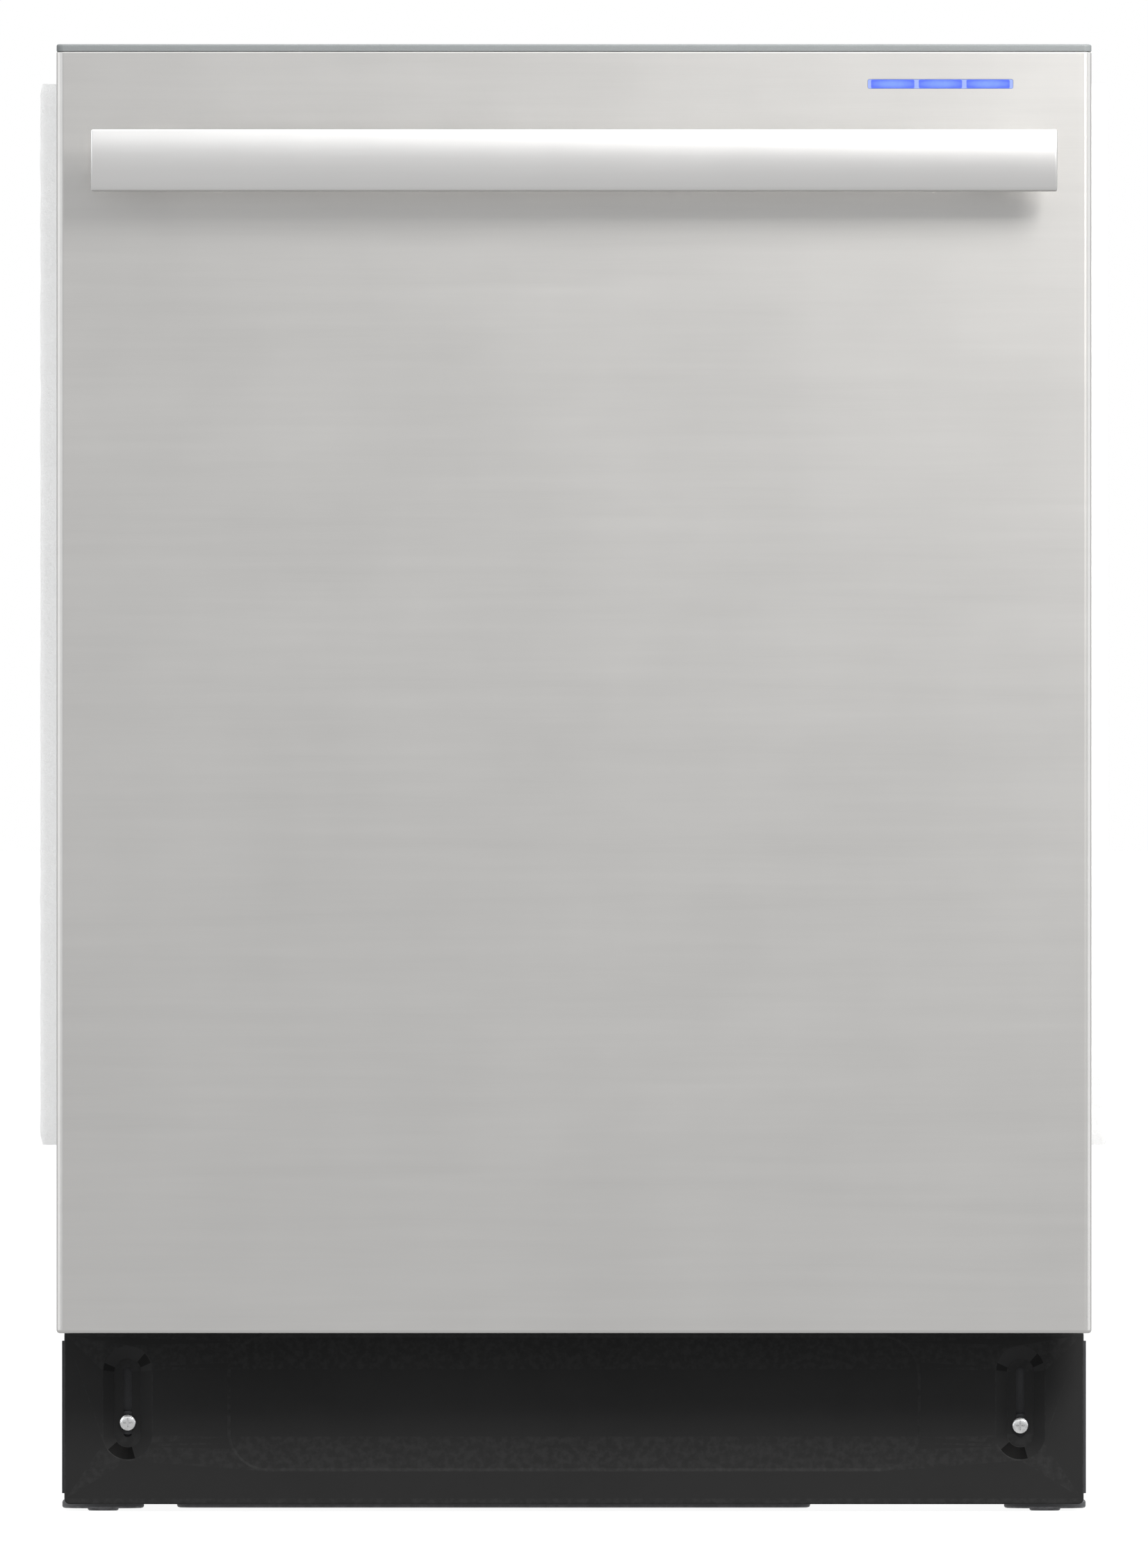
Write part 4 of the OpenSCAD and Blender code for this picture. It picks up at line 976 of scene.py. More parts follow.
def gasket():
    """A rubber seal with a hollow bulb, up one side of the mouth, over the top and down the other."""
    x, z = span("tub_gasket", "x"), span("tub_gasket", "z")
    depth = flange_y - span("tub_gasket", "y")[0]
    width, top = 10 * MM, 6 * MM

    def run(inset_x, inset_z, r):
        left = arc((x[0] + inset_x + r, z[1] - inset_z - r), r, 180, 90, 8)
        right = arc((x[1] - inset_x - r, z[1] - inset_z - r), r, 90, 0, 8)
        return [(x[0] + inset_x, z[0]), *left, *right, (x[1] - inset_x, z[0])]

    outer, inner = run(0, 0, 14 * MM), run(width, top, 8 * MM)
    profile = [(0, 0), (0, 0.3), (0.04, 0.62), (0.14, 0.88), (0.28, 1), (0.42, 0.95), (0.52, 0.74),
               (0.58, 0.5), (0.7, 0.42), (0.86, 0.5), (0.97, 0.4), (1, 0.2), (1, 0)]
    rings = []
    for (u0, v0), (u1, v1) in zip(inner, outer):
        rings.append([(u0 + (u1 - u0) * t, flange_y - depth * d, v0 + (v1 - v0) * t) for t, d in profile])
    shape = Shape()
    shape.skin(rings)
    piece(shape, "tub_gasket_bulb", "cabinet", "seal_rubber", ("tub_gasket",), sharp=50)

    x, z = span("door_bottom_seal", "x"), span("door_bottom_seal", "z")
    profile = [(0, 0), (0.6, 0), (0.9, 0.12), (1, 0.4), (0.92, 0.7), (0.6, 0.82), (0.45, 1), (0, 1)]
    strip = Shape()
    strip.skin([[(place, flange_y - depth * d, z[0] + (z[1] - z[0]) * t) for d, t in profile]
                for place in spread(*x, 40 * MM)])
    piece(strip, "door_bottom_seal_lip", "cabinet", "seal_rubber", ("door_bottom_seal",), sharp=50)


def sound_blanket():
    """A needled felt jacket round the tub, pinched where its layers are welded together."""
    def soften(holder):
        grain = holder.modifiers.new("even", "REMESH")
        grain.mode = "VOXEL"
        grain.voxel_size = 7 * MM
        holder.modifiers.new("smooth", "SMOOTH").iterations = 5

    rough_form = Shape()
    bm = rough_form.bm
    bm.from_mesh(frame["nodes"]["sound_blanket"].data)
    bmesh.ops.remove_doubles(bm, verts=bm.verts, dist=2e-6)
    mesh = worked(rough_form.to_mesh("blanket"), soften)
    x, z = span("sound_blanket", "x"), span("sound_blanket", "z")
    tub_x = tub_in + 2 * MM
    weld = 96 * MM
    places = [vertex.co.copy() for vertex in mesh.vertices]
    facings = [vertex.normal.copy() for vertex in mesh.vertices]
    for i, (p, n) in enumerate(zip(places, facings)):
        outside = abs(p.x) > tub_x + 5 * MM or p.z > z[1] - 7 * MM or p.y > tub_y1 + 5 * MM
        if not outside:
            continue
        u, v = (p.y, p.z) if abs(n.x) > 0.7 else (p.x, p.z) if abs(n.y) > 0.7 else (p.x, p.y)
        across = min(abs((u / weld) % 1 - 0.5), abs((v / weld) % 1 - 0.5)) * weld
        pinch = exp(-(across / (7 * MM)) ** 2)
        lumps = noise.noise(p * 14) * 1.6 * MM + noise.noise(p * 45) * 0.6 * MM
        places[i] = p + n * (1.2 * MM + lumps - 3.2 * MM * pinch)
    mesh.vertices.foreach_set("co", [c for p in places for c in p])
    made = piece(mesh, "sound_blanket_felt", "cabinet", "blanket_felt", ("sound_blanket",), sharp=80)


# ---- Wash system ----

def radial_bars(shape, centre, radii, z, half, count, start=0):
    """Upright ribs standing round a centre."""
    for k in range(count):
        a = radians(start + 360 * k / count)
        way, side = Vector((cos(a), sin(a), 0)), Vector((-sin(a), cos(a), 0))
        base = Vector((*centre, 0))
        rings = []
        for r in radii:
            p = base + way * r
            rings.append([p + side * half + Vector((0, 0, z[0])), p - side * half + Vector((0, 0, z[0])),
                          p - side * half + Vector((0, 0, z[1])), p + side * half + Vector((0, 0, z[1]))])
        shape.skin(rings)


def screw_head(shape, place, axis, r=3 * MM, rise=1.8 * MM, way=1):
    """A domed head with a flange, standing along an axis."""
    profile = [(0, 0), (r * 1.25, 0), (r * 1.25, 0.3 * rise), (r, 0.42 * rise), (r * 0.9, 0.8 * rise),
               (r * 0.6, rise), (r * 0.35, rise), (r * 0.3, 0.6 * rise), (0, 0.6 * rise)]
    shape.turned([(radius, way * h) for radius, h in profile], place, axis, 20)


def sump():
    """The moulded bowl with its stiffening ribs, clamp screws and bead."""
    z = span("sump", "z")

    def ribs(shape):
        radial_bars(shape, (0, arm_y), mm(119, 127, 133), (z[1] - 30 * MM, z[1] - 3.5 * MM), 1 * MM, 20, 9)
        for k in range(8):
            a = radians(45 * k + 4)
            screw_head(shape, (133 * MM * cos(a), arm_y + 133 * MM * sin(a), z[1] - 4 * MM), "z", 2.6 * MM,
                       2 * MM, -1)
        bead = [(-1, 0), (0, 0), (0, 1.2), (-1, 1.2)]
        rings = [(121 * MM + u * MM, z[1] - 36 * MM + v * MM) for u, v in bead]
        loop_of(shape, rings, (0, arm_y, 0))

    dressed("sump", "sump_plastic", 1.4 * MM, 3, ribs)


def loop_of(shape, profile, place, axis="z", steps=72):
    """A closed profile of (radius, height) pairs turned into a ring about an axis."""
    shape.skin([hoop(r, h, place, axis, steps) for r, h in [*profile, profile[0]]], ends=False)


def filters():
    """The perforated plate, and the cup filter with its mesh windows and grip."""
    z = span("filter_plate", "z")

    def seats(shape):
        cup = (middle("filter_cup", "x"), middle("filter_cup", "y"))
        loop_of(shape, [(44 * MM, z[1] - 0.2 * MM), (41.2 * MM, z[1] - 0.2 * MM),
                        (41.4 * MM, z[1] + 0.6 * MM), (43 * MM, z[1] + 0.8 * MM)], (*cup, 0))
        for k in range(4):
            a = radians(90 * k + 30)
            screw_head(shape, (115 * MM * cos(a), arm_y + 115 * MM * sin(a), z[1] - 0.1 * MM), "z", 2.4 * MM,
                       1.4 * MM)

    dressed("filter_plate", "filter_mesh", 0.4 * MM, 2, seats)
    cup_z = span("filter_cup", "z")
    centre = (middle("filter_cup", "x"), middle("filter_cup", "y"))

    def windows(shape):
        for height in (cup_z[0] + 14 * MM, cup_z[0] + 30 * MM, cup_z[0] + 46 * MM):
            loop_of(shape, [(39.5 * MM, height), (40.4 * MM, height), (40.4 * MM, height + 1.5 * MM),
                            (39.5 * MM, height + 1.5 * MM)], (*centre, 0))
        radial_bars(shape, centre, mm(39.4, 40.5), (cup_z[0] + 2 * MM, cup_z[1] - 18 * MM), 0.9 * MM, 16)

    dressed("filter_cup", "filter_plastic", 0.8 * MM, 2, windows)


def pumps():
    """The wash pump with its rotor, and the drain pump, with fins, hose beads and screws."""
    x, z = -60 * MM, middle("wash_impeller", "z")
    y = span("wash_pump", "y")

    def wash_detail(shape):
        for place in spread(y[0] + 12 * MM, y[0] + 84 * MM, 9 * MM):
            loop_of(shape, mm((30.6, -1.1), (32.6, -0.7), (32.6, 0.7), (30.6, 1.1)), (x, place, z), "y")
        for k in range(6):
            a = radians(60 * k + 30)
            screw_head(shape, (x + 36 * MM * cos(a), arm_y - 44 * MM, z + 36 * MM * sin(a)), "y", 2.2 * MM,
                       2.4 * MM, -1)
        shape.block(about(x, 12 * MM), (y[0] + 8 * MM, y[0] + 34 * MM), (z + 29 * MM, z + 42 * MM), 1.2 * MM,
                    3)

    dressed("wash_pump", "pump_black", 1.2 * MM, 3, wash_detail)
    dressed("wash_impeller", "float_white", 0.5 * MM)
    drain_x = 118 * MM
    back = 150 * MM

    def drain_detail(shape):
        for place in spread(back - 62 * MM, back - 30 * MM, 8 * MM):
            loop_of(shape, mm((23.6, -1), (25.2, -0.6), (25.2, 0.6), (23.6, 1)), (drain_x, place, z), "y")
        for place in (back + 8 * MM, back + 15 * MM, back + 22 * MM):
            loop_of(shape, mm((9.3, 0), (9.9, 0), (9.3, 4)), (drain_x, place, z), "y")
        for k in range(4):
            a = radians(90 * k + 45)
            screw_head(shape, (drain_x + 20 * MM * cos(a), back, z + 20 * MM * sin(a)), "y", 2 * MM, 2 * MM)

    dressed("drain_pump", "pump_black", 1.0 * MM, 3, drain_detail)


def heater():
    """A tubular heater ring, its two ends turned down through sealed bushes."""
    z = span("heater_element", "z")
    ring_z = z[1] - 5 * MM
    far = span("heater_element", "y")[1] - 5 * MM
    x = 19.65 * MM
    r = hypot(x, far - arm_y)
    start = degrees(atan2(far - arm_y, x))
    circle = [(u, v, ring_z) for u, v in arc((0, arm_y), r, start, start - 360 + 2 * (start - 90), 96)][1:-1]
    ends = [(-x, far), (x, far)]
    if (Vector(circle[0]).xy - Vector((x, far))).length > (Vector(circle[0]).xy - Vector((-x, far))).length:
        ends.reverse()
    (u1, v1), (u0, v0) = ends
    path = [(u0, v0, z[0]), (u0, v0, ring_z - 3 * MM), (u0, v0, ring_z - 0.4 * MM), *circle,
            (u1, v1, ring_z - 0.4 * MM), (u1, v1, ring_z - 3 * MM), (u1, v1, z[0])]
    shape = Shape()
    shape.tube(path, 3.9 * MM, 14)
    for u, v in ends:
        shape.turned(mm((0, -11), (6.6, -11), (6.8, -10), (6.8, -2), (5.4, -0.8), (4.2, 3), (0, 3)),
                     (u, v, floor_z), steps=28)
    for a in (200, 270, 340):
        u, v = r * cos(radians(a)), arm_y + r * sin(radians(a))
        shape.turned(mm((0, 0.1), (5, 0.1), (5, 0.9), (2.2, 1.2), (2.2, 6), (0, 6.4)), (u, v, floor_z),
                     steps=20)
    piece(shape, "heater_element_tube", "cabinet", "heater_steel", ("heater_element",), sharp=40)


def feed_and_valve():
    """The water feed pipe, the inlet valve and the junction box."""
    z = span("water_feed", "z")
    front = span("middle_manifold", "y")[1] + 4 * MM

    def clips(shape):
        for height in spread(z[0] + 60 * MM, z[1] - 60 * MM, 105 * MM):
            shape.block(mm(-17, 17), (front + 4 * MM, tub_y1 - 3 * MM), about(height, 5 * MM), 1.2 * MM)
        shape.block(mm(-9, 9), (front + 7.5 * MM, front + 12 * MM), (z[0] + 30 * MM, z[1] - 90 * MM), 1 * MM)

    dressed("water_feed", "feed_plastic", 2.4 * MM, 3, clips)
    y, top = span("inlet_valve", "y"), span("inlet_valve", "z")[1]

    def coil(shape):
        axis = -196 * MM
        for height in spread(top - 20 * MM, top - 5 * MM, 5 * MM):
            shape.block(about(axis, 13 * MM), (y[0] + 21 * MM, y[0] + 47 * MM), about(height, 0.8 * MM),
                        0.3 * MM)
        for side in (-1, 1):
            u = sorted((axis + side * 4 * MM, axis + side * 6.5 * MM))
            shape.block(u, (y[0] + 33 * MM, y[0] + 34 * MM), (top - MM, top + 7 * MM), 0.2 * MM)
            screw_head(shape, (axis + side * 20 * MM, y[0] + 8 * MM, middle("inlet_valve", "z") - 2 * MM),
                       "z", 2.4 * MM, 1.8 * MM)
        for place in spread(y[1] - 20 * MM, y[1] - 4 * MM, 2.5 * MM):
            loop_of(shape, mm((9.2, -0.9), (10.1, 0), (9.2, 0.9)), (axis, place, 64.6 * MM), "y", 40)

    dressed("inlet_valve", "valve_plastic", 1.0 * MM, 3, coil)
    box_x, box_y, box_z = (span("junction_box", axis) for axis in "xyz")

    def box_detail(shape):
        for side in (box_x[0] + 12 * MM, box_x[1] - 12 * MM):
            screw_head(shape, (side, sum(box_y) / 2, box_z[1]), "z", 3 * MM, 1.8 * MM)
        loop_of(shape, mm((11.3, -0.4), (16, -0.2), (16, 0.9), (13, 1.5), (11.3, 1.5)),
                (172 * MM, box_y[1] - 1.2 * MM, 60.6 * MM), "y", 48)

    dressed("junction_box", "zinc_steel", 0.5 * MM, 2, box_detail)


def spray_arm(name, z, hub_z, stem_r, sway, body):
    """A moulded arm, slim towards its tips, with raised jets and a ribbed hub."""
    y = span(name, "y")
    reach = (y[1] - y[0]) / 2
    width = {"lower_spray_arm": 34, "middle_spray_arm": 30, "top_spray_arm": 26}[name] * MM
    shape = Shape()
    rings = []
    count = 40
    for i in range(count + 1):
        t = -cos(pi * i / count)
        slim = 1 - 0.28 * abs(t) ** 1.5
        tip = sqrt(max(1 - max(abs(t) - 0.93, 0) ** 2 / 0.07 ** 2, 0.004))
        w, h = width * slim * tip, 9 * MM * (1 - 0.2 * t * t) * (0.45 + 0.55 * tip)
        shift = sway * sin(pi * t)
        outline = rounded(about(shift, w / 2), (z, z + h), min(w, h) * 0.42, 4)
        rings.append(lay(outline, "xz", arm_y + reach * t))
    shape.skin(rings)
    for side in (-1, 1):
        for k in (1, 2, 3):
            t = side * (reach - 8 * MM) * k / 3.4 / reach
            place = (side * 6 * MM + sway * sin(pi * t), arm_y + reach * t, z + 9 * MM * (1 - 0.2 * t * t))
            loop_of(shape, mm((1.5, -1.4), (3.6, -1.4), (3.2, 0.5), (2.5, 0.9), (1.7, 0.8)), place, steps=24)
        seam = [(sway * sin(pi * t), arm_y + reach * t, z + 9 * MM * (1 - 0.2 * t * t) + 0.1 * MM)
                for t in (side * (0.13 + 0.76 * k / 12) for k in range(13))]
        shape.tube(seam, 0.9 * MM, 8)
    low, high = hub_z
    r = stem_r + 9 * MM
    bore = stem_r + 0.3 * MM
    loop_of(shape, [(bore, low), (r - 1.2 * MM, low), (r, low + 1.2 * MM), (r, high - 1.6 * MM),
                    (r - 1.6 * MM, high), (bore, high)], (0, arm_y, 0), steps=48)
    radial_bars(shape, (0, arm_y), (r - MM, r + 1.2 * MM), (low + 1.5 * MM, high - 2.5 * MM), 0.9 * MM, 12)
    piece(shape, name + "_moulded", body, "arm_grey", (name,), sharp=40)


def cabinet_hardware():
    """Plated pressings: brackets, rails, hinges and the latch's strike."""
    dressed("counter_brackets", "zinc_steel", 0.4 * MM)
    dressed("strike", "zinc_steel", 0.5 * MM)
    dressed("rail_tracks", "zinc_steel", 0.5 * MM)
    z = middle("rail_slides", "z")
    slide_y = span("rail_slides", "y")

    def stops(shape):
        for side in (-1, 1):
            for place in (slide_y[0] + 2 * MM, slide_y[1] - 3 * MM):
                x = sided(side, tub_in - 16.6 * MM, tub_in - 7.2 * MM)
                shape.block(x, about(place, 2 * MM), (z - 12 * MM, z - 6.6 * MM), 0.6 * MM)

    dressed("rail_slides", "zinc_steel", 0.5 * MM, 2, stops)
    hinge_y, hinge_z = joint_at["door_hinge"][1:]

    def rivets(places):
        def add(shape):
            for side in (-1, 1):
                for x, y, height in places:
                    screw_head(shape, (side * x, y, height), "x", 2.6 * MM, 1.6 * MM, -side)
        return add

    arm_x = span("hinge_arms", "x")[1] - 11 * MM
    dressed("hinge_arms", "zinc_steel", 0.5 * MM, 2,
            rivets([(arm_x, hinge_y, hinge_z + 60 * MM), (arm_x, hinge_y, hinge_z + 190 * MM)]))
    bracket_x = 286.4 * MM
    dressed("hinge_brackets", "zinc_steel", 0.5 * MM, 2,
            rivets([(bracket_x, -162 * MM, 100 * MM), (bracket_x, -162 * MM, 118 * MM)]))


def base():
    """The moulded base with upright ribs along its skirts."""
    x, y, z = (span("base_frame", axis) for axis in "xyz")
    skirt_top = 71.7 * MM

    def ribs(shape):
        for side in (-1, 1):
            for place in spread(y[0] + 66 * MM, y[1] - 76 * MM, 37 * MM):
                u = sided(side, x[1] - 4 * MM, x[1] - 30 * MM)
                shape.block(u, about(place, MM), (z[0] + 20 * MM, skirt_top - 3 * MM), 0.5 * MM)
            for place in (y[0] + 38 * MM, y[1] - 46 * MM):
                for offset in mm(-10, 10):
                    u = sided(side, x[1] - 14.6 * MM, x[1] - 12.6 * MM)
                    shape.block(u, about(place + offset, 1.5 * MM), (skirt_top, z[1] - 6 * MM), 0.6 * MM)

    dressed("base_frame", "base_grey", 1.1 * MM, 3, ribs)


# ---- Door inside ----

def door_liner():
    """The pressed inner panel: round shoulders, two sunken fields, and the dispenser's opening."""
    x, z = span("tub", "x"), span("door_liner", "z")
    narrow = tub_in + 5 * MM
    step_z = 160 * MM
    top_r, foot_r = 3 * MM, 8 * MM
    outline = arc((x[1] - top_r, z[1] - top_r), top_r, 0, 90, 4) + arc((x[0] + top_r, z[1] - top_r), top_r,
                                                                       90, 180, 4)
    outline += [(x[0], step_z + 4 * MM), (x[0] + 2 * MM, step_z + MM), (-narrow - 2 * MM, step_z),
                (-narrow, step_z - 3 * MM)]
    outline += arc((-narrow + foot_r, z[0] + foot_r), foot_r, 180, 270,
                   5) + arc((narrow - foot_r, z[0] + foot_r), foot_r, 270, 360, 5)
    outline += [(narrow, step_z - 3 * MM), (narrow + 2 * MM, step_z), (x[1] - 2 * MM, step_z + MM),
                (x[1], step_z + 4 * MM)]
    back = span("door_panel", "y")[1]
    r = 1.9 * MM
    shape = Shape()
    side = shape.skin([lay(shrunk(outline, r * (1 - sin(a))), "xz", liner_y - r * (1 - cos(a)))
                       for a in (radians(18 * k) for k in range(6))] + [lay(outline, "xz", back)], ends=False)
    holes = []
    sunk = mm(((-232, 232), (190, 438)), ((-232, 232), (642, 800)))
    for u, v in sunk:
        field = rounded(u, v, 26 * MM, 8)
        rows = shape.skin(stacked(field, "xz",
                                  mm((0, 0), (0.9, 0.15), (2, 0.8), (4, 2.6), (5, 3.2), (6.2, 3.4)), liner_y,
                                  -1), ends=False)
        shape.fill(rows[-1])
        holes.append(rows[0])
    dispenser_hole = rounded(mm(-131.6, 87.6), mm(470.6, 609.8), 4 * MM, 4)
    strike_z = span("strike", "z")
    strike_hole = rounded(mm(-14, 14), (strike_z[0] + 0.2 * MM, strike_z[1] - 0.6 * MM), 1.5 * MM, 3)
    for hole in (dispenser_hole, strike_hole):
        rows = shape.skin([lay(hole, "xz", liner_y - d) for d in (0, 3 * MM)], ends=False)
        holes.append(rows[0])
    shape.fill(side[0], holes)
    mesh = shape.to_mesh("liner")
    sheet = Shape()
    sheet.bm.from_mesh(thick(mesh, 0.9 * MM))
    for edge in (-1, 1):
        u = sided(edge, x[1] - 0.6 * MM, door_hw - MM)
        sheet.block(u, (back - MM, back - 0.1 * MM), (step_z, z[1]), 0.2 * MM)
    piece(sheet, "door_liner_pressed", "door", "stainless_liner", ("door_liner",), sharp=40)


def dispenser():
    """The detergent cup in its moulded frame, with the sliding lid and the rinse-aid cap."""
    x, y, z = (span("dispenser", axis) for axis in "xyz")
    lip = y[1]
    outline = rounded(x, z, 9 * MM, 6)
    body = rounded((x[0] + 8.6 * MM, x[1] - 8.6 * MM), (z[0] + 8.6 * MM, z[1] - 8.6 * MM), 3 * MM, 6)
    shape = Shape()
    rows = shape.skin([lay(body, "xz", y[0]), lay(body, "xz", liner_y),
                       lay(outline, "xz", liner_y + 0.1 * MM), lay(outline, "xz", lip - 1.6 * MM),
                       lay(shrunk(outline, 0.5 * MM), "xz", lip - 0.5 * MM),
                       lay(shrunk(outline, 1.7 * MM), "xz", lip)], ends=False)
    shape.fill(rows[0])
    cup = rounded(mm(-112, -8), mm(486.2, 594.2), 10 * MM, 6)
    well = shape.skin(stacked(cup, "xz", mm((-1, 0), (-0.3, 0.3), (0, 1), (1.5, 17), (5, 21), (8, 21.8)), lip,
                              -1), ends=False)
    shape.fill(well[-1])
    cap_x, cap_z = middle("rinse_cap", "x"), middle("rinse_cap", "z")
    seat = shape.skin([lay(ring_of(r, (cap_x, cap_z)), "xz", lip - d) for r,
                       d in mm((19, 0), (18.4, 0.5), (7, 0.6), (6.3, 1.2), (6.3, 20))], ends=False)
    shape.fill(seat[-1])
    window = shape.skin(stacked(rounded(mm(30, 62), mm(488, 500), 3 * MM, 6), "xz",
                                mm((0, 0), (0.4, 0.5), (0.8, 1.2)), lip, -1), ends=False)
    shape.fill(window[-1])
    shape.fill(rows[-1], [well[0], seat[0], window[0]])
    piece(shape, "dispenser_body", "door", "dispenser_grey", ("dispenser",), sharp=35)

    lid_x, lid_y, lid_z = (span("dispenser_lid", axis) for axis in "xyz")
    lid = Shape()
    face = lid_y[0] + 2.7 * MM
    lid.slab(rounded(lid_x, lid_z, 7 * MM, 6), "xz", (lid_y[0], face), 1.0 * MM)
    lid.slab(rounded((lid_x[0] + 6 * MM, lid_x[0] + 14 * MM), (lid_z[0] + 32 * MM, lid_z[1] - 32 * MM),
                     3 * MM, 5), "xz", (face - MM, lid_y[1]), 0.9 * MM)
    for k in range(5):
        place = lid_x[0] + 30 * MM + 5 * MM * k
        lid.slab(rounded((place, place + 1.6 * MM), (lid_z[0] + 36 * MM, lid_z[1] - 36 * MM), 0.75 * MM, 4),
                 "xz", (face - MM, face + 0.7 * MM), 0.35 * MM)
    piece(lid, "dispenser_lid_moulded", "dispenser_lid", "dispenser_lid_grey", ("dispenser_lid",), sharp=35)

    low, high = span("rinse_cap", "y")
    knob = Shape()
    face = low + 19 * MM
    knob.turned([(0, low + 0.2 * MM), (5 * MM, low + 0.2 * MM), (5.9 * MM, low + 1.4 * MM),
                 (5.9 * MM, lip + 0.3 * MM), (16 * MM, lip + 0.3 * MM), (17 * MM, lip + 0.9 * MM),
                 (17 * MM, lip + 2.1 * MM), (16.4 * MM, lip + 2.8 * MM), (15 * MM, face),
                 (13.5 * MM, face - 0.3 * MM), (0, face - 0.3 * MM)], (cap_x, 0, cap_z), "y", 56)
    knob.slab(rounded(about(cap_x, 14 * MM), about(cap_z, 2 * MM), 1.9 * MM, 5), "xz", (face - MM, high),
              0.8 * MM)
    for k in range(28):
        a = 2 * pi * k / 28
        spot = (cap_x + 16.9 * MM * cos(a), lip + 1.0 * MM, cap_z + 16.9 * MM * sin(a))
        knob.turned(mm((0, 0), (0.7, 0), (0.7, 1.3), (0, 1.4)), spot, "y", 8)
    piece(knob, "rinse_cap_knob", "rinse_cap", "rinse_blue", ("rinse_cap",), sharp=35)


def door_electrics():
    """The board behind the buttons with its key switches and parts, and the damping pad behind the skin."""
    x, y, z = (span("control_board", axis) for axis in "xyz")

    def parts(shape):
        for name in BUTTONS:
            u = middle(name, "x")
            shape.block(about(u, 4 * MM), (y[0] + 2 * MM, y[0] + 10 * MM), (z[1], z[1] + 5 * MM), 0.5 * MM)
        for k in range(7):
            u = x[0] + 222 * MM + 22 * MM * k
            shape.block((u, u + 12 * MM), (y[0] + 5 * MM, y[0] + 11 * MM),
                        (z[1], z[1] + 2 * MM + (k % 3) * MM), 0.3 * MM)
        for k in range(3):
            spot = (x[1] - 18 * MM - 15 * MM * k, y[1] - 5 * MM, z[1])
            shape.turned(mm((0, 0), (3.6, 0), (3.6, 7), (3.2, 7.6), (0, 7.6)), spot, steps=24)

    dressed("control_board", "board_green", 0.2 * MM, 1, parts)
    dressed("door_insulation", "bitumen_pad", 5 * MM, 4)
    dressed("latch_pawl", "zinc_steel", 0.5 * MM)


# ---- Racks ----

WIRE = 4 * MM
WIRE_PITCH = 44 * MM
rack_x = span("lower_rack", "x")
rack_y = span("lower_rack", "y")
rail_z = middle("rail_slides", "z")


def rim(shape, x, y, z, r, corner=20 * MM):
    """A closed wire round the rack at one height."""
    path = [(u, v, z) for u, v in rounded((x[0] + r, x[1] - r), (y[0] + r, y[1] - r), corner, 7)]
    shape.tube(path, r, 10, closed=True)


def wire_rack(shape, z):
    """A basket of round welded wires, each bent up at both its ends, with three wires round it."""
    r = WIRE / 2
    low, top = z[0] + r, z[1] - r
    for x in spread(rack_x[0] + r, rack_x[1] - r, WIRE_PITCH)[1:-1]:
        path = [(x, rack_y[0] + r, top), (x, rack_y[0] + r, low), (x, rack_y[1] - r, low),
                (x, rack_y[1] - r, top)]
        shape.tube(bend(path, 14 * MM), r, 8)
    for y in spread(rack_y[0] + r, rack_y[1] - r, WIRE_PITCH)[1:-1]:
        path = [(rack_x[0] + r, y, top), (rack_x[0] + r, y, low), (rack_x[1] - r, y, low),
                (rack_x[1] - r, y, top)]
        shape.tube(bend(path, 14 * MM), r, 8)
    rim(shape, rack_x, rack_y, top, r * 1.25)
    rim(shape, rack_x, rack_y, (z[0] + z[1]) / 2, r)
    rim(shape, rack_x, rack_y, low + 13 * MM, r)


def grip(shape, top):
    """A moulded grip clipped over the middle of the front wire."""
    y = rack_y[0] + WIRE / 2
    outline = rounded((y - 4 * MM, y + 5 * MM), (top - 15 * MM, top + 2 * MM), 4 * MM, 6)
    rings = []
    for place, inset in ((-92, 3), (-91, 1.4), (-89, 0.4), (-86, 0), (86, 0), (89, 0.4), (91, 1.4), (92, 3)):
        rings.append(lay(shrunk(outline, inset * MM), "yz", place * MM))
    shape.skin(rings)
    for k in range(-6, 7):
        shape.block(about(k * 11 * MM, 1.2 * MM), (y - 4.6 * MM, y - 3 * MM), (top - 11 * MM, top - 2 * MM),
                    0.5 * MM)


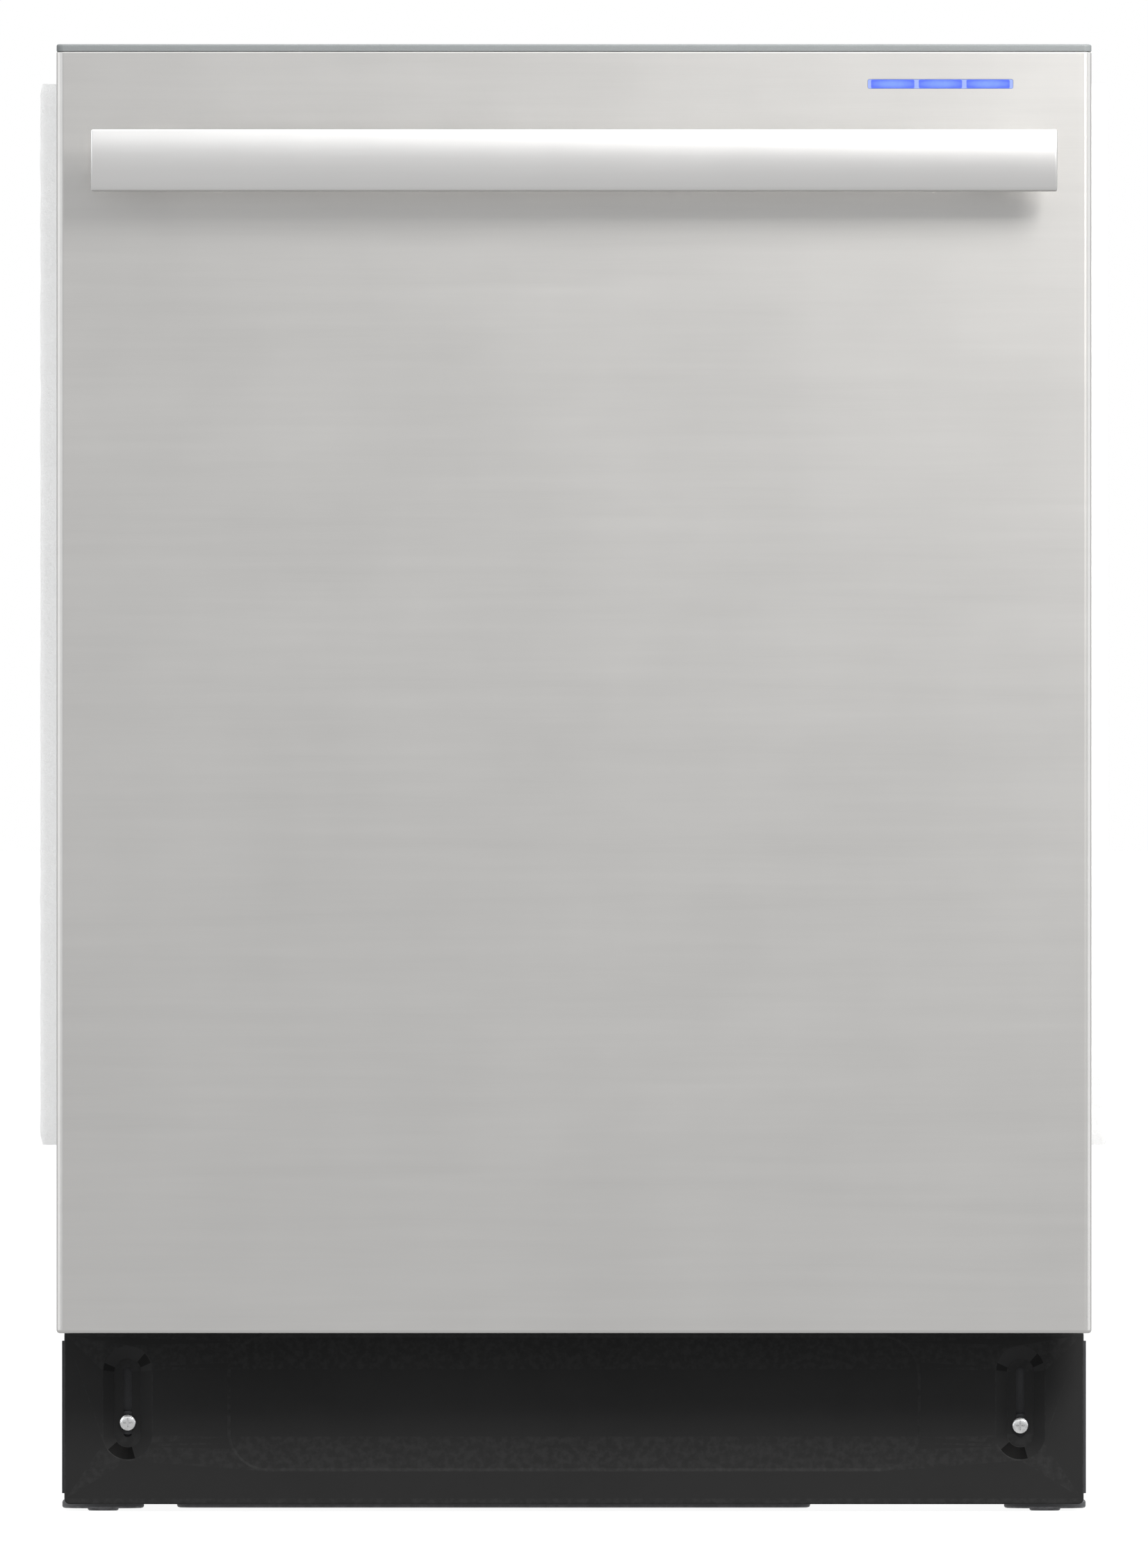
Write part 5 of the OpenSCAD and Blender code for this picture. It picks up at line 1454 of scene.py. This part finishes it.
def lower_rack():
    """The lower basket with its grip, tine bearings and wheel carriers."""
    z = span("lower_rack", "z")
    shape = Shape()
    wire_rack(shape, z)
    grip(shape, z[1])
    for node in ("tine_row_left", "tine_row_right"):
        x = middle(node, "x")
        rod = span(node, "y")
        rod_z = span(node, "z")[0] + 2.5 * MM
        for y in (rod[0] + 8 * MM, rod[1] - 8 * MM):
            shape.block(about(x, 5 * MM), about(y, 3 * MM), (z[0] + WIRE - 1.5 * MM, rod_z - 2.7 * MM),
                        0.7 * MM)
            for side in (-1, 1):
                u = sorted((x + side * 2.8 * MM, x + side * 5 * MM))
                shape.block(u, about(y, 3 * MM), (rod_z - 4 * MM, rod_z + 4.6 * MM), 0.6 * MM)
    piece(shape, "lower_rack_wires", "lower_rack", "rack_grey", ("lower_rack",), sharp=50)

    carriers = Shape()
    axle = middle("wheels_front", "z")
    for node in ("wheels_front", "wheels_rear"):
        y = middle(node, "y")
        plate = arc((y, axle), 9.5 * MM, 180, 360, 12) + [(y + 10 * MM, z[0] + 6 * MM),
                                                          (y - 10 * MM, z[0] + 6 * MM)]
        carriers.slab(plate, "yz", (rack_x[1] - 4.6 * MM, rack_x[1]), 0.8 * MM)
        carriers.block((rack_x[1] - 8 * MM, rack_x[1] + 1.4 * MM), about(y, 12 * MM),
                       (z[0] - 1.5 * MM, z[0] + 9 * MM), 1.2 * MM)
        reach = span(node, "x")[1] - rack_x[1] + 1 * MM
        carriers.turned([(0, -1 * MM), mm(5.4, -1), mm(5.4, 1.2), mm(3, 1.8), (3 * MM, reach - 0.6 * MM),
                         (3.6 * MM, reach - 0.3 * MM), (3.2 * MM, reach + 0.5 * MM), (0, reach + 0.7 * MM)],
                        (rack_x[1], y, axle), "x", 28)
    carriers.mirror_x()
    piece(carriers, "wheel_carriers_clips", "lower_rack", "wheel_grey", ("wheel_carriers",))


def wheels(node):
    """Rollers with a deep rim, a thin web and six ribs."""
    y, z = middle(node, "y"), middle(node, "z")
    outer = span(node, "x")[1]
    x, half = outer - 5 * MM, 5 * MM
    shape = Shape()
    profile = [(3.25, -4.6), (6.2, -4.6), (6.6, -4.2), (6.6, -1.4), (13.6, -1.4), (14, -4.4), (14.6, -5),
               (16.6, -5), (17.6, -4.4), (18, -3.2), (18, 3.2), (17.6, 4.4), (16.6, 5), (14.6, 5), (14, 4.4),
               (13.6, 1.4), (6.6, 1.4), (6.6, 4.2), (6.2, 4.6), (3.25, 4.6)]
    loop_of(shape, [(u * MM, v * MM) for u, v in profile], (x, y, z), "x", 56)
    for k in range(6):
        a = radians(60 * k + 12)
        way, side = Vector((0, cos(a), sin(a))), Vector((0, -sin(a), cos(a)))
        rings = []
        for d in mm(6.2, 10, 14.2):
            p = Vector((x, y, z)) + way * d
            across = Vector((half * 0.72, 0, 0))
            rings.append([p + side * 0.9 * MM + across, p - side * 0.9 * MM + across,
                          p - side * 0.9 * MM - across, p + side * 0.9 * MM - across])
        shape.skin(rings)
    shape.mirror_x()
    piece(shape, node + "_ribbed", node, "wheel_grey", (node,))


def tines(node):
    """A folding row of hairpin tines welded to one rod."""
    x, y, z = middle(node, "x"), span(node, "y"), span(node, "z")
    rod = z[0] + 2.5 * MM
    shape = Shape()
    shape.tube([(x, v, rod) for v in spread(y[0] + 2 * MM, y[1] - 2 * MM, 60 * MM)], 2.5 * MM, 12)
    half = 7 * MM
    for v in spread(y[0] + 24 * MM, y[1] - 24 * MM, WIRE_PITCH):
        top = [(x, u, w) for u, w in arc((v, z[1] - half - 2 * MM), half, 180, 0, 10)]
        shape.tube([(x, v - half, rod), *top, (x, v + half, rod)], 1.9 * MM, 8)
    piece(shape, node + "_hairpins", node, "rack_grey", (node,), sharp=50)


def cutlery_basket():
    """A lattice basket with six cells, a rolled rim and an arched handle."""
    x, y, z = (span("cutlery_basket", axis) for axis in "xyz")
    top = z[1] - 32 * MM
    wall = 2 * MM
    shape = Shape()
    cells = [y[0] + wall / 2 + (y[1] - y[0] - wall) * k / 6 for k in range(7)]
    levels = [(z[0], z[0] + 5 * MM), (z[0] + 38 * MM, z[0] + 41 * MM), (z[0] + 75 * MM, z[0] + 78 * MM),
              (top - 9 * MM, top)]
    for low, high in levels:
        for side in x:
            u = sorted((side, side + (wall if side == x[0] else -wall)))
            shape.block(u, y, (low, high), 0.6 * MM, 2)
        for cell in cells:
            shape.block(x, about(cell, wall / 2), (low, high), 0.6 * MM, 2)
    for side in (x[0] + wall / 2, x[1] - wall / 2):
        for v in spread(y[0] + wall / 2, y[1] - wall / 2, 11 * MM):
            shape.block(about(side, 0.8 * MM), about(v, 1.3 * MM), (z[0] + MM, top - MM), 0.4 * MM, 1)
    for cell in cells:
        for u in spread(x[0] + wall / 2, x[1] - wall / 2, 12 * MM)[1:-1]:
            shape.block(about(u, 1.3 * MM), about(cell, 0.8 * MM), (z[0] + MM, top - MM), 0.4 * MM, 1)
    for u in spread(x[0] + 4 * MM, x[1] - 4 * MM, 9 * MM):
        shape.block(about(u, 1.2 * MM), (y[0] + MM, y[1] - MM), (z[0], z[0] + 2.2 * MM), 0.4 * MM, 1)
    for v in spread(y[0] + 9 * MM, y[1] - 9 * MM, 12 * MM):
        shape.block((x[0] + MM, x[1] - MM), about(v, 1.2 * MM), (z[0] + 0.2 * MM, z[0] + 2 * MM), 0.4 * MM, 1)
    for side in (-1, 1):
        edge = x[0] if side < 0 else x[1]
        lip = sorted((edge - side * 0.4 * MM, edge - side * 3.4 * MM))
        shape.block(lip, y, (top - 2.4 * MM, top + 0.6 * MM), 1.2 * MM, 3)
    low, post, bar, r = top - 30 * MM, 2.4 * MM, 6 * MM, 16 * MM
    outside = [(y[0], low)] + arc((y[0] + r, z[1] - r), r, 180, 90,
                                  8) + arc((y[1] - r, z[1] - r), r, 90, 0, 8) + [(y[1], low)]
    inner_r = r - bar
    inside = [(y[1] - post, low)] + arc((y[1] - post - inner_r, z[1] - bar - inner_r), inner_r, 0, 90, 8)
    inside += arc((y[0] + post + inner_r, z[1] - bar - inner_r), inner_r, 90, 180, 8) + [(y[0] + post, low)]
    centre = sum(x) / 2
    shape.slab(outside + inside, "yz", about(centre, 6 * MM), 0.9 * MM)
    piece(shape, "cutlery_basket_lattice", "lower_rack", "basket_grey", ("cutlery_basket",))


def upper_rack():
    """The upper basket with its grip, runners, shelf bearings and spray manifold."""
    z = span("upper_rack", "z")
    shape = Shape()
    wire_rack(shape, z)
    grip(shape, z[1])
    runner = span("upper_rack", "x")[1]
    front, back = arm_y, rack_y[1] - 4 * MM
    shelf_x = span("cup_shelf", "x")[1] - 2.5 * MM
    shelf_z = middle("cup_shelf", "z")
    shelf_y = span("cup_shelf", "y")
    for side in (-1, 1):
        outer = sided(side, rack_x[1] + 3 * MM, runner)
        shape.block(outer, (front, back), about(rail_z, 6 * MM), 1.4 * MM, 3)
        for y in (front + 12 * MM, (front + back) / 2, back - 12 * MM):
            hook = sided(side, rack_x[1] - 7 * MM, rack_x[1] + 7 * MM)
            shape.block(hook, about(y, 8 * MM), about(rail_z, 9 * MM), 1.6 * MM, 3)
            screw_head(shape, (side * (rack_x[1] - 7 * MM), y, rail_z), "x", 2.6 * MM, 1.6 * MM, -side)
    for y in (shelf_y[0] + 8 * MM, shelf_y[1] - 8 * MM):
        shape.block((shelf_x + 2.9 * MM, rack_x[1] - 1 * MM), about(y, 3 * MM), about(shelf_z, 6 * MM),
                    0.8 * MM)
        for level in (-1, 1):
            v = sorted((shelf_z + level * 2.8 * MM, shelf_z + level * 6 * MM))
            shape.block(about(shelf_x, 4 * MM), about(y, 3 * MM), v, 0.8 * MM)
    piece(shape, "upper_rack_wires", "upper_rack", "rack_grey", ("upper_rack",), sharp=50)
    dressed("middle_manifold", "arm_grey", 1.6 * MM, 3)


def cup_shelf():
    """A folding shelf of hairpin wires on one rod."""
    x, y, z = span("cup_shelf", "x"), span("cup_shelf", "y"), middle("cup_shelf", "z")
    rod = x[1] - 2.5 * MM
    shape = Shape()
    shape.tube([(rod, v, z) for v in spread(y[0] + 2 * MM, y[1] - 2 * MM, 60 * MM)], 2.5 * MM, 12)
    tips = x[0] + 2 * MM
    outer = [(rod, y[0] + 16 * MM, z), (tips, y[0] + 16 * MM, z), (tips, y[1] - 16 * MM, z),
             (rod, y[1] - 16 * MM, z)]
    shape.tube(bend(outer, 14 * MM), 2 * MM, 8)
    for v in spread(y[0] + 16 * MM, y[1] - 16 * MM, 26 * MM)[1:-1]:
        shape.tube([(rod, v, z), ((rod + tips) / 2, v, z - 0.6 * MM), (tips, v, z)], 1.6 * MM, 8)
    middle_x = (rod + tips) / 2
    shape.tube([(middle_x, v, z + 0.6 * MM) for v in spread(y[0] + 16 * MM, y[1] - 16 * MM, 60 * MM)],
               1.8 * MM, 8)
    piece(shape, "cup_shelf_wires", "cup_shelf", "rack_grey", ("cup_shelf",), sharp=50)


# ---- Stage ----

def lamp(name, place, aim, size, power, color=(1, 1, 1)):
    """A soft rectangular light."""
    data = bpy.data.lights.new(name, "AREA")
    data.shape = "RECTANGLE"
    data.size, data.size_y = size
    data.energy = power
    data.color = color
    made = bpy.data.objects.new(name, data)
    bpy.context.scene.collection.objects.link(made)
    made.location = place
    made.rotation_mode = "QUATERNION"
    made.rotation_quaternion = (Vector(aim) - Vector(place)).to_track_quat("-Z", "Y")
    return made


ROOM_LIGHT = (0.35, 0.85)
SIDE_LIGHT = 1.3
FLOOR_HALF = 300
LAMPS_AT_EACH_PLACE = 2     # the looks were set with pairs, which don't render as one lamp of twice the power
CAMERA_LENS = 1200          # long, because the view has next to no perspective
CAMERA_HEIGHT = 0.427
WIDTH_IN_VIEW = 918.5 * MM


def seen_apart(tree, lighting, seen, output):
    """One shader for the light that falls on the object, another for what the eye sees directly."""
    direct = add_node(tree, "ShaderNodeLightPath").outputs["Is Camera Ray"]
    pick = add_node(tree, "ShaderNodeMixShader", {"Fac": direct, 1: lighting, 2: seen})
    feed(tree, tree.nodes[output], {"Surface": pick.outputs["Shader"]})


def studio():
    """A pale floor that runs on into a white room, soft lights, and a camera straight in front."""
    scene = bpy.context.scene
    scene.view_settings.view_transform = "Standard"
    world = bpy.data.worlds.new("studio")
    world.use_nodes = True
    scene.world = world
    tree = world.node_tree
    way = add_node(tree, "ShaderNodeTexCoord").outputs["Generated"]
    split = add_node(tree, "ShaderNodeSeparateXYZ", {"Vector": way})
    rise = add_node(tree, "ShaderNodeMapRange",
                    {"Value": split.outputs["Z"], "From Max": 0.42, "To Min": ROOM_LIGHT[0],
                     "To Max": ROOM_LIGHT[1]})
    side = add_node(tree, "ShaderNodeMath", {0: split.outputs["X"]}, operation="ABSOLUTE")
    band = add_node(tree, "ShaderNodeMapRange",
                    {"Value": side.outputs["Value"], "From Min": 0.84, "From Max": 0.93,
                     "To Max": SIDE_LIGHT})
    both = add_node(tree, "ShaderNodeMath", {0: rise.outputs["Result"], 1: band.outputs["Result"]})
    around = tree.nodes["Background"]
    feed(tree, around, {"Color": (0.98, 0.99, 1.0, 1), "Strength": both.outputs["Value"]})
    behind = add_node(tree, "ShaderNodeBackground", {"Color": (1, 1, 1, 1), "Strength": 1.0})
    seen_apart(tree, around.outputs["Background"], behind.outputs["Background"], "World Output")

    ground = Shape()
    corners = [(u * FLOOR_HALF, v * FLOOR_HALF, 0) for u, v in ((-1, -1), (1, -1), (1, 1), (-1, 1))]
    ground.bm.faces.new([ground.bm.verts.new(p) for p in corners])
    floor = bpy.data.objects.new("floor", ground.to_mesh("floor"))
    scene.collection.objects.link(floor)
    pale = bpy.data.materials.new("pale_floor")
    pale.use_nodes = True
    shader = pale.node_tree.nodes["Principled BSDF"]
    feed(pale.node_tree, shader,
         {"Base Color": (0.16, 0.16, 0.16, 1), "Roughness": 0.9, "Specular IOR Level": 0.0,
          "Emission Color": (1, 1, 1, 1), "Emission Strength": 0.93})
    dim = add_node(pale.node_tree, "ShaderNodeEmission", {"Strength": 0.57})
    seen_apart(pale.node_tree, dim.outputs["Emission"], shader.outputs["BSDF"], "Material Output")
    floor.data.materials.append(pale)

    for _ in range(LAMPS_AT_EACH_PLACE):
        lamp("key", (0.95, -1.7, 1.65), (0.28, door_y, 0.85), (0.7, 0.7), 26, (1.0, 0.985, 0.96))
        lamp("fill", (-2.4, -2.6, 1.2), (-0.2, door_y, 0.5), (1.4, 2.0), 6, (0.95, 0.98, 1.0))
        lamp("top", (0.0, -0.6, 2.6), (0, -0.2, 0.6), (2.2, 1.2), 14)
        lamp("back", (0.8, 2.6, 2.0), (0, 0, 0.5), (2.0, 2.0), 30)

    view = bpy.data.cameras.new("camera")
    view.lens = CAMERA_LENS
    view.sensor_width = 36
    view.dof.use_dof = False
    camera = bpy.data.objects.new("camera", view)
    scene.collection.objects.link(camera)
    camera.location = (0, door_y - WIDTH_IN_VIEW * view.lens / view.sensor_width, CAMERA_HEIGHT)
    camera.rotation_euler = (radians(90), 0, 0)
    view.clip_end = 1000
    scene.camera = camera


smoky = Finish("smoky_lens", (0.16, 0.20, 0.42), 0.2, Emission_Color=(0.18, 0.24, 0.50, 1),
               Emission_Strength=0.6).made

studio()

door_skin()
status_light()
handle()
control_cap()
buttons()
toe_kick()
toe_kick_screws()
for leg in ("leg_front_left", "leg_front_right", "leg_rear_left", "leg_rear_right"):
    foot(leg)
drip_pan()
side_seals()
base()

tub()
gasket()
sound_blanket()
sump()
filters()
pumps()
heater()
feed_and_valve()
spray_arm("lower_spray_arm", 170 * MM, span("lower_spray_arm", "z"), 11 * MM, 9 * MM, "lower_spray_arm")
spray_arm("middle_spray_arm", 397 * MM, span("middle_spray_arm", "z"), 6 * MM, -7 * MM, "middle_spray_arm")
spray_arm("top_spray_arm", 808 * MM, span("top_spray_arm", "z"), 6 * MM, 5 * MM, "top_spray_arm")
cabinet_hardware()
dressed("overfill_float", "float_white", 1.0 * MM, 3)

door_liner()
dispenser()
door_electrics()

lower_rack()
for pair in ("wheels_front", "wheels_rear"):
    wheels(pair)
for row in ("tine_row_left", "tine_row_right"):
    tines(row)
cutlery_basket()
upper_rack()
cup_shelf()

for node, slot in {row["node"]: row["material_slot"] for row in frame["record"]["subparts"]}.items():
    frame["nodes"][node].data.materials.clear()
    frame["nodes"][node].data.materials.append(finishes[slot])
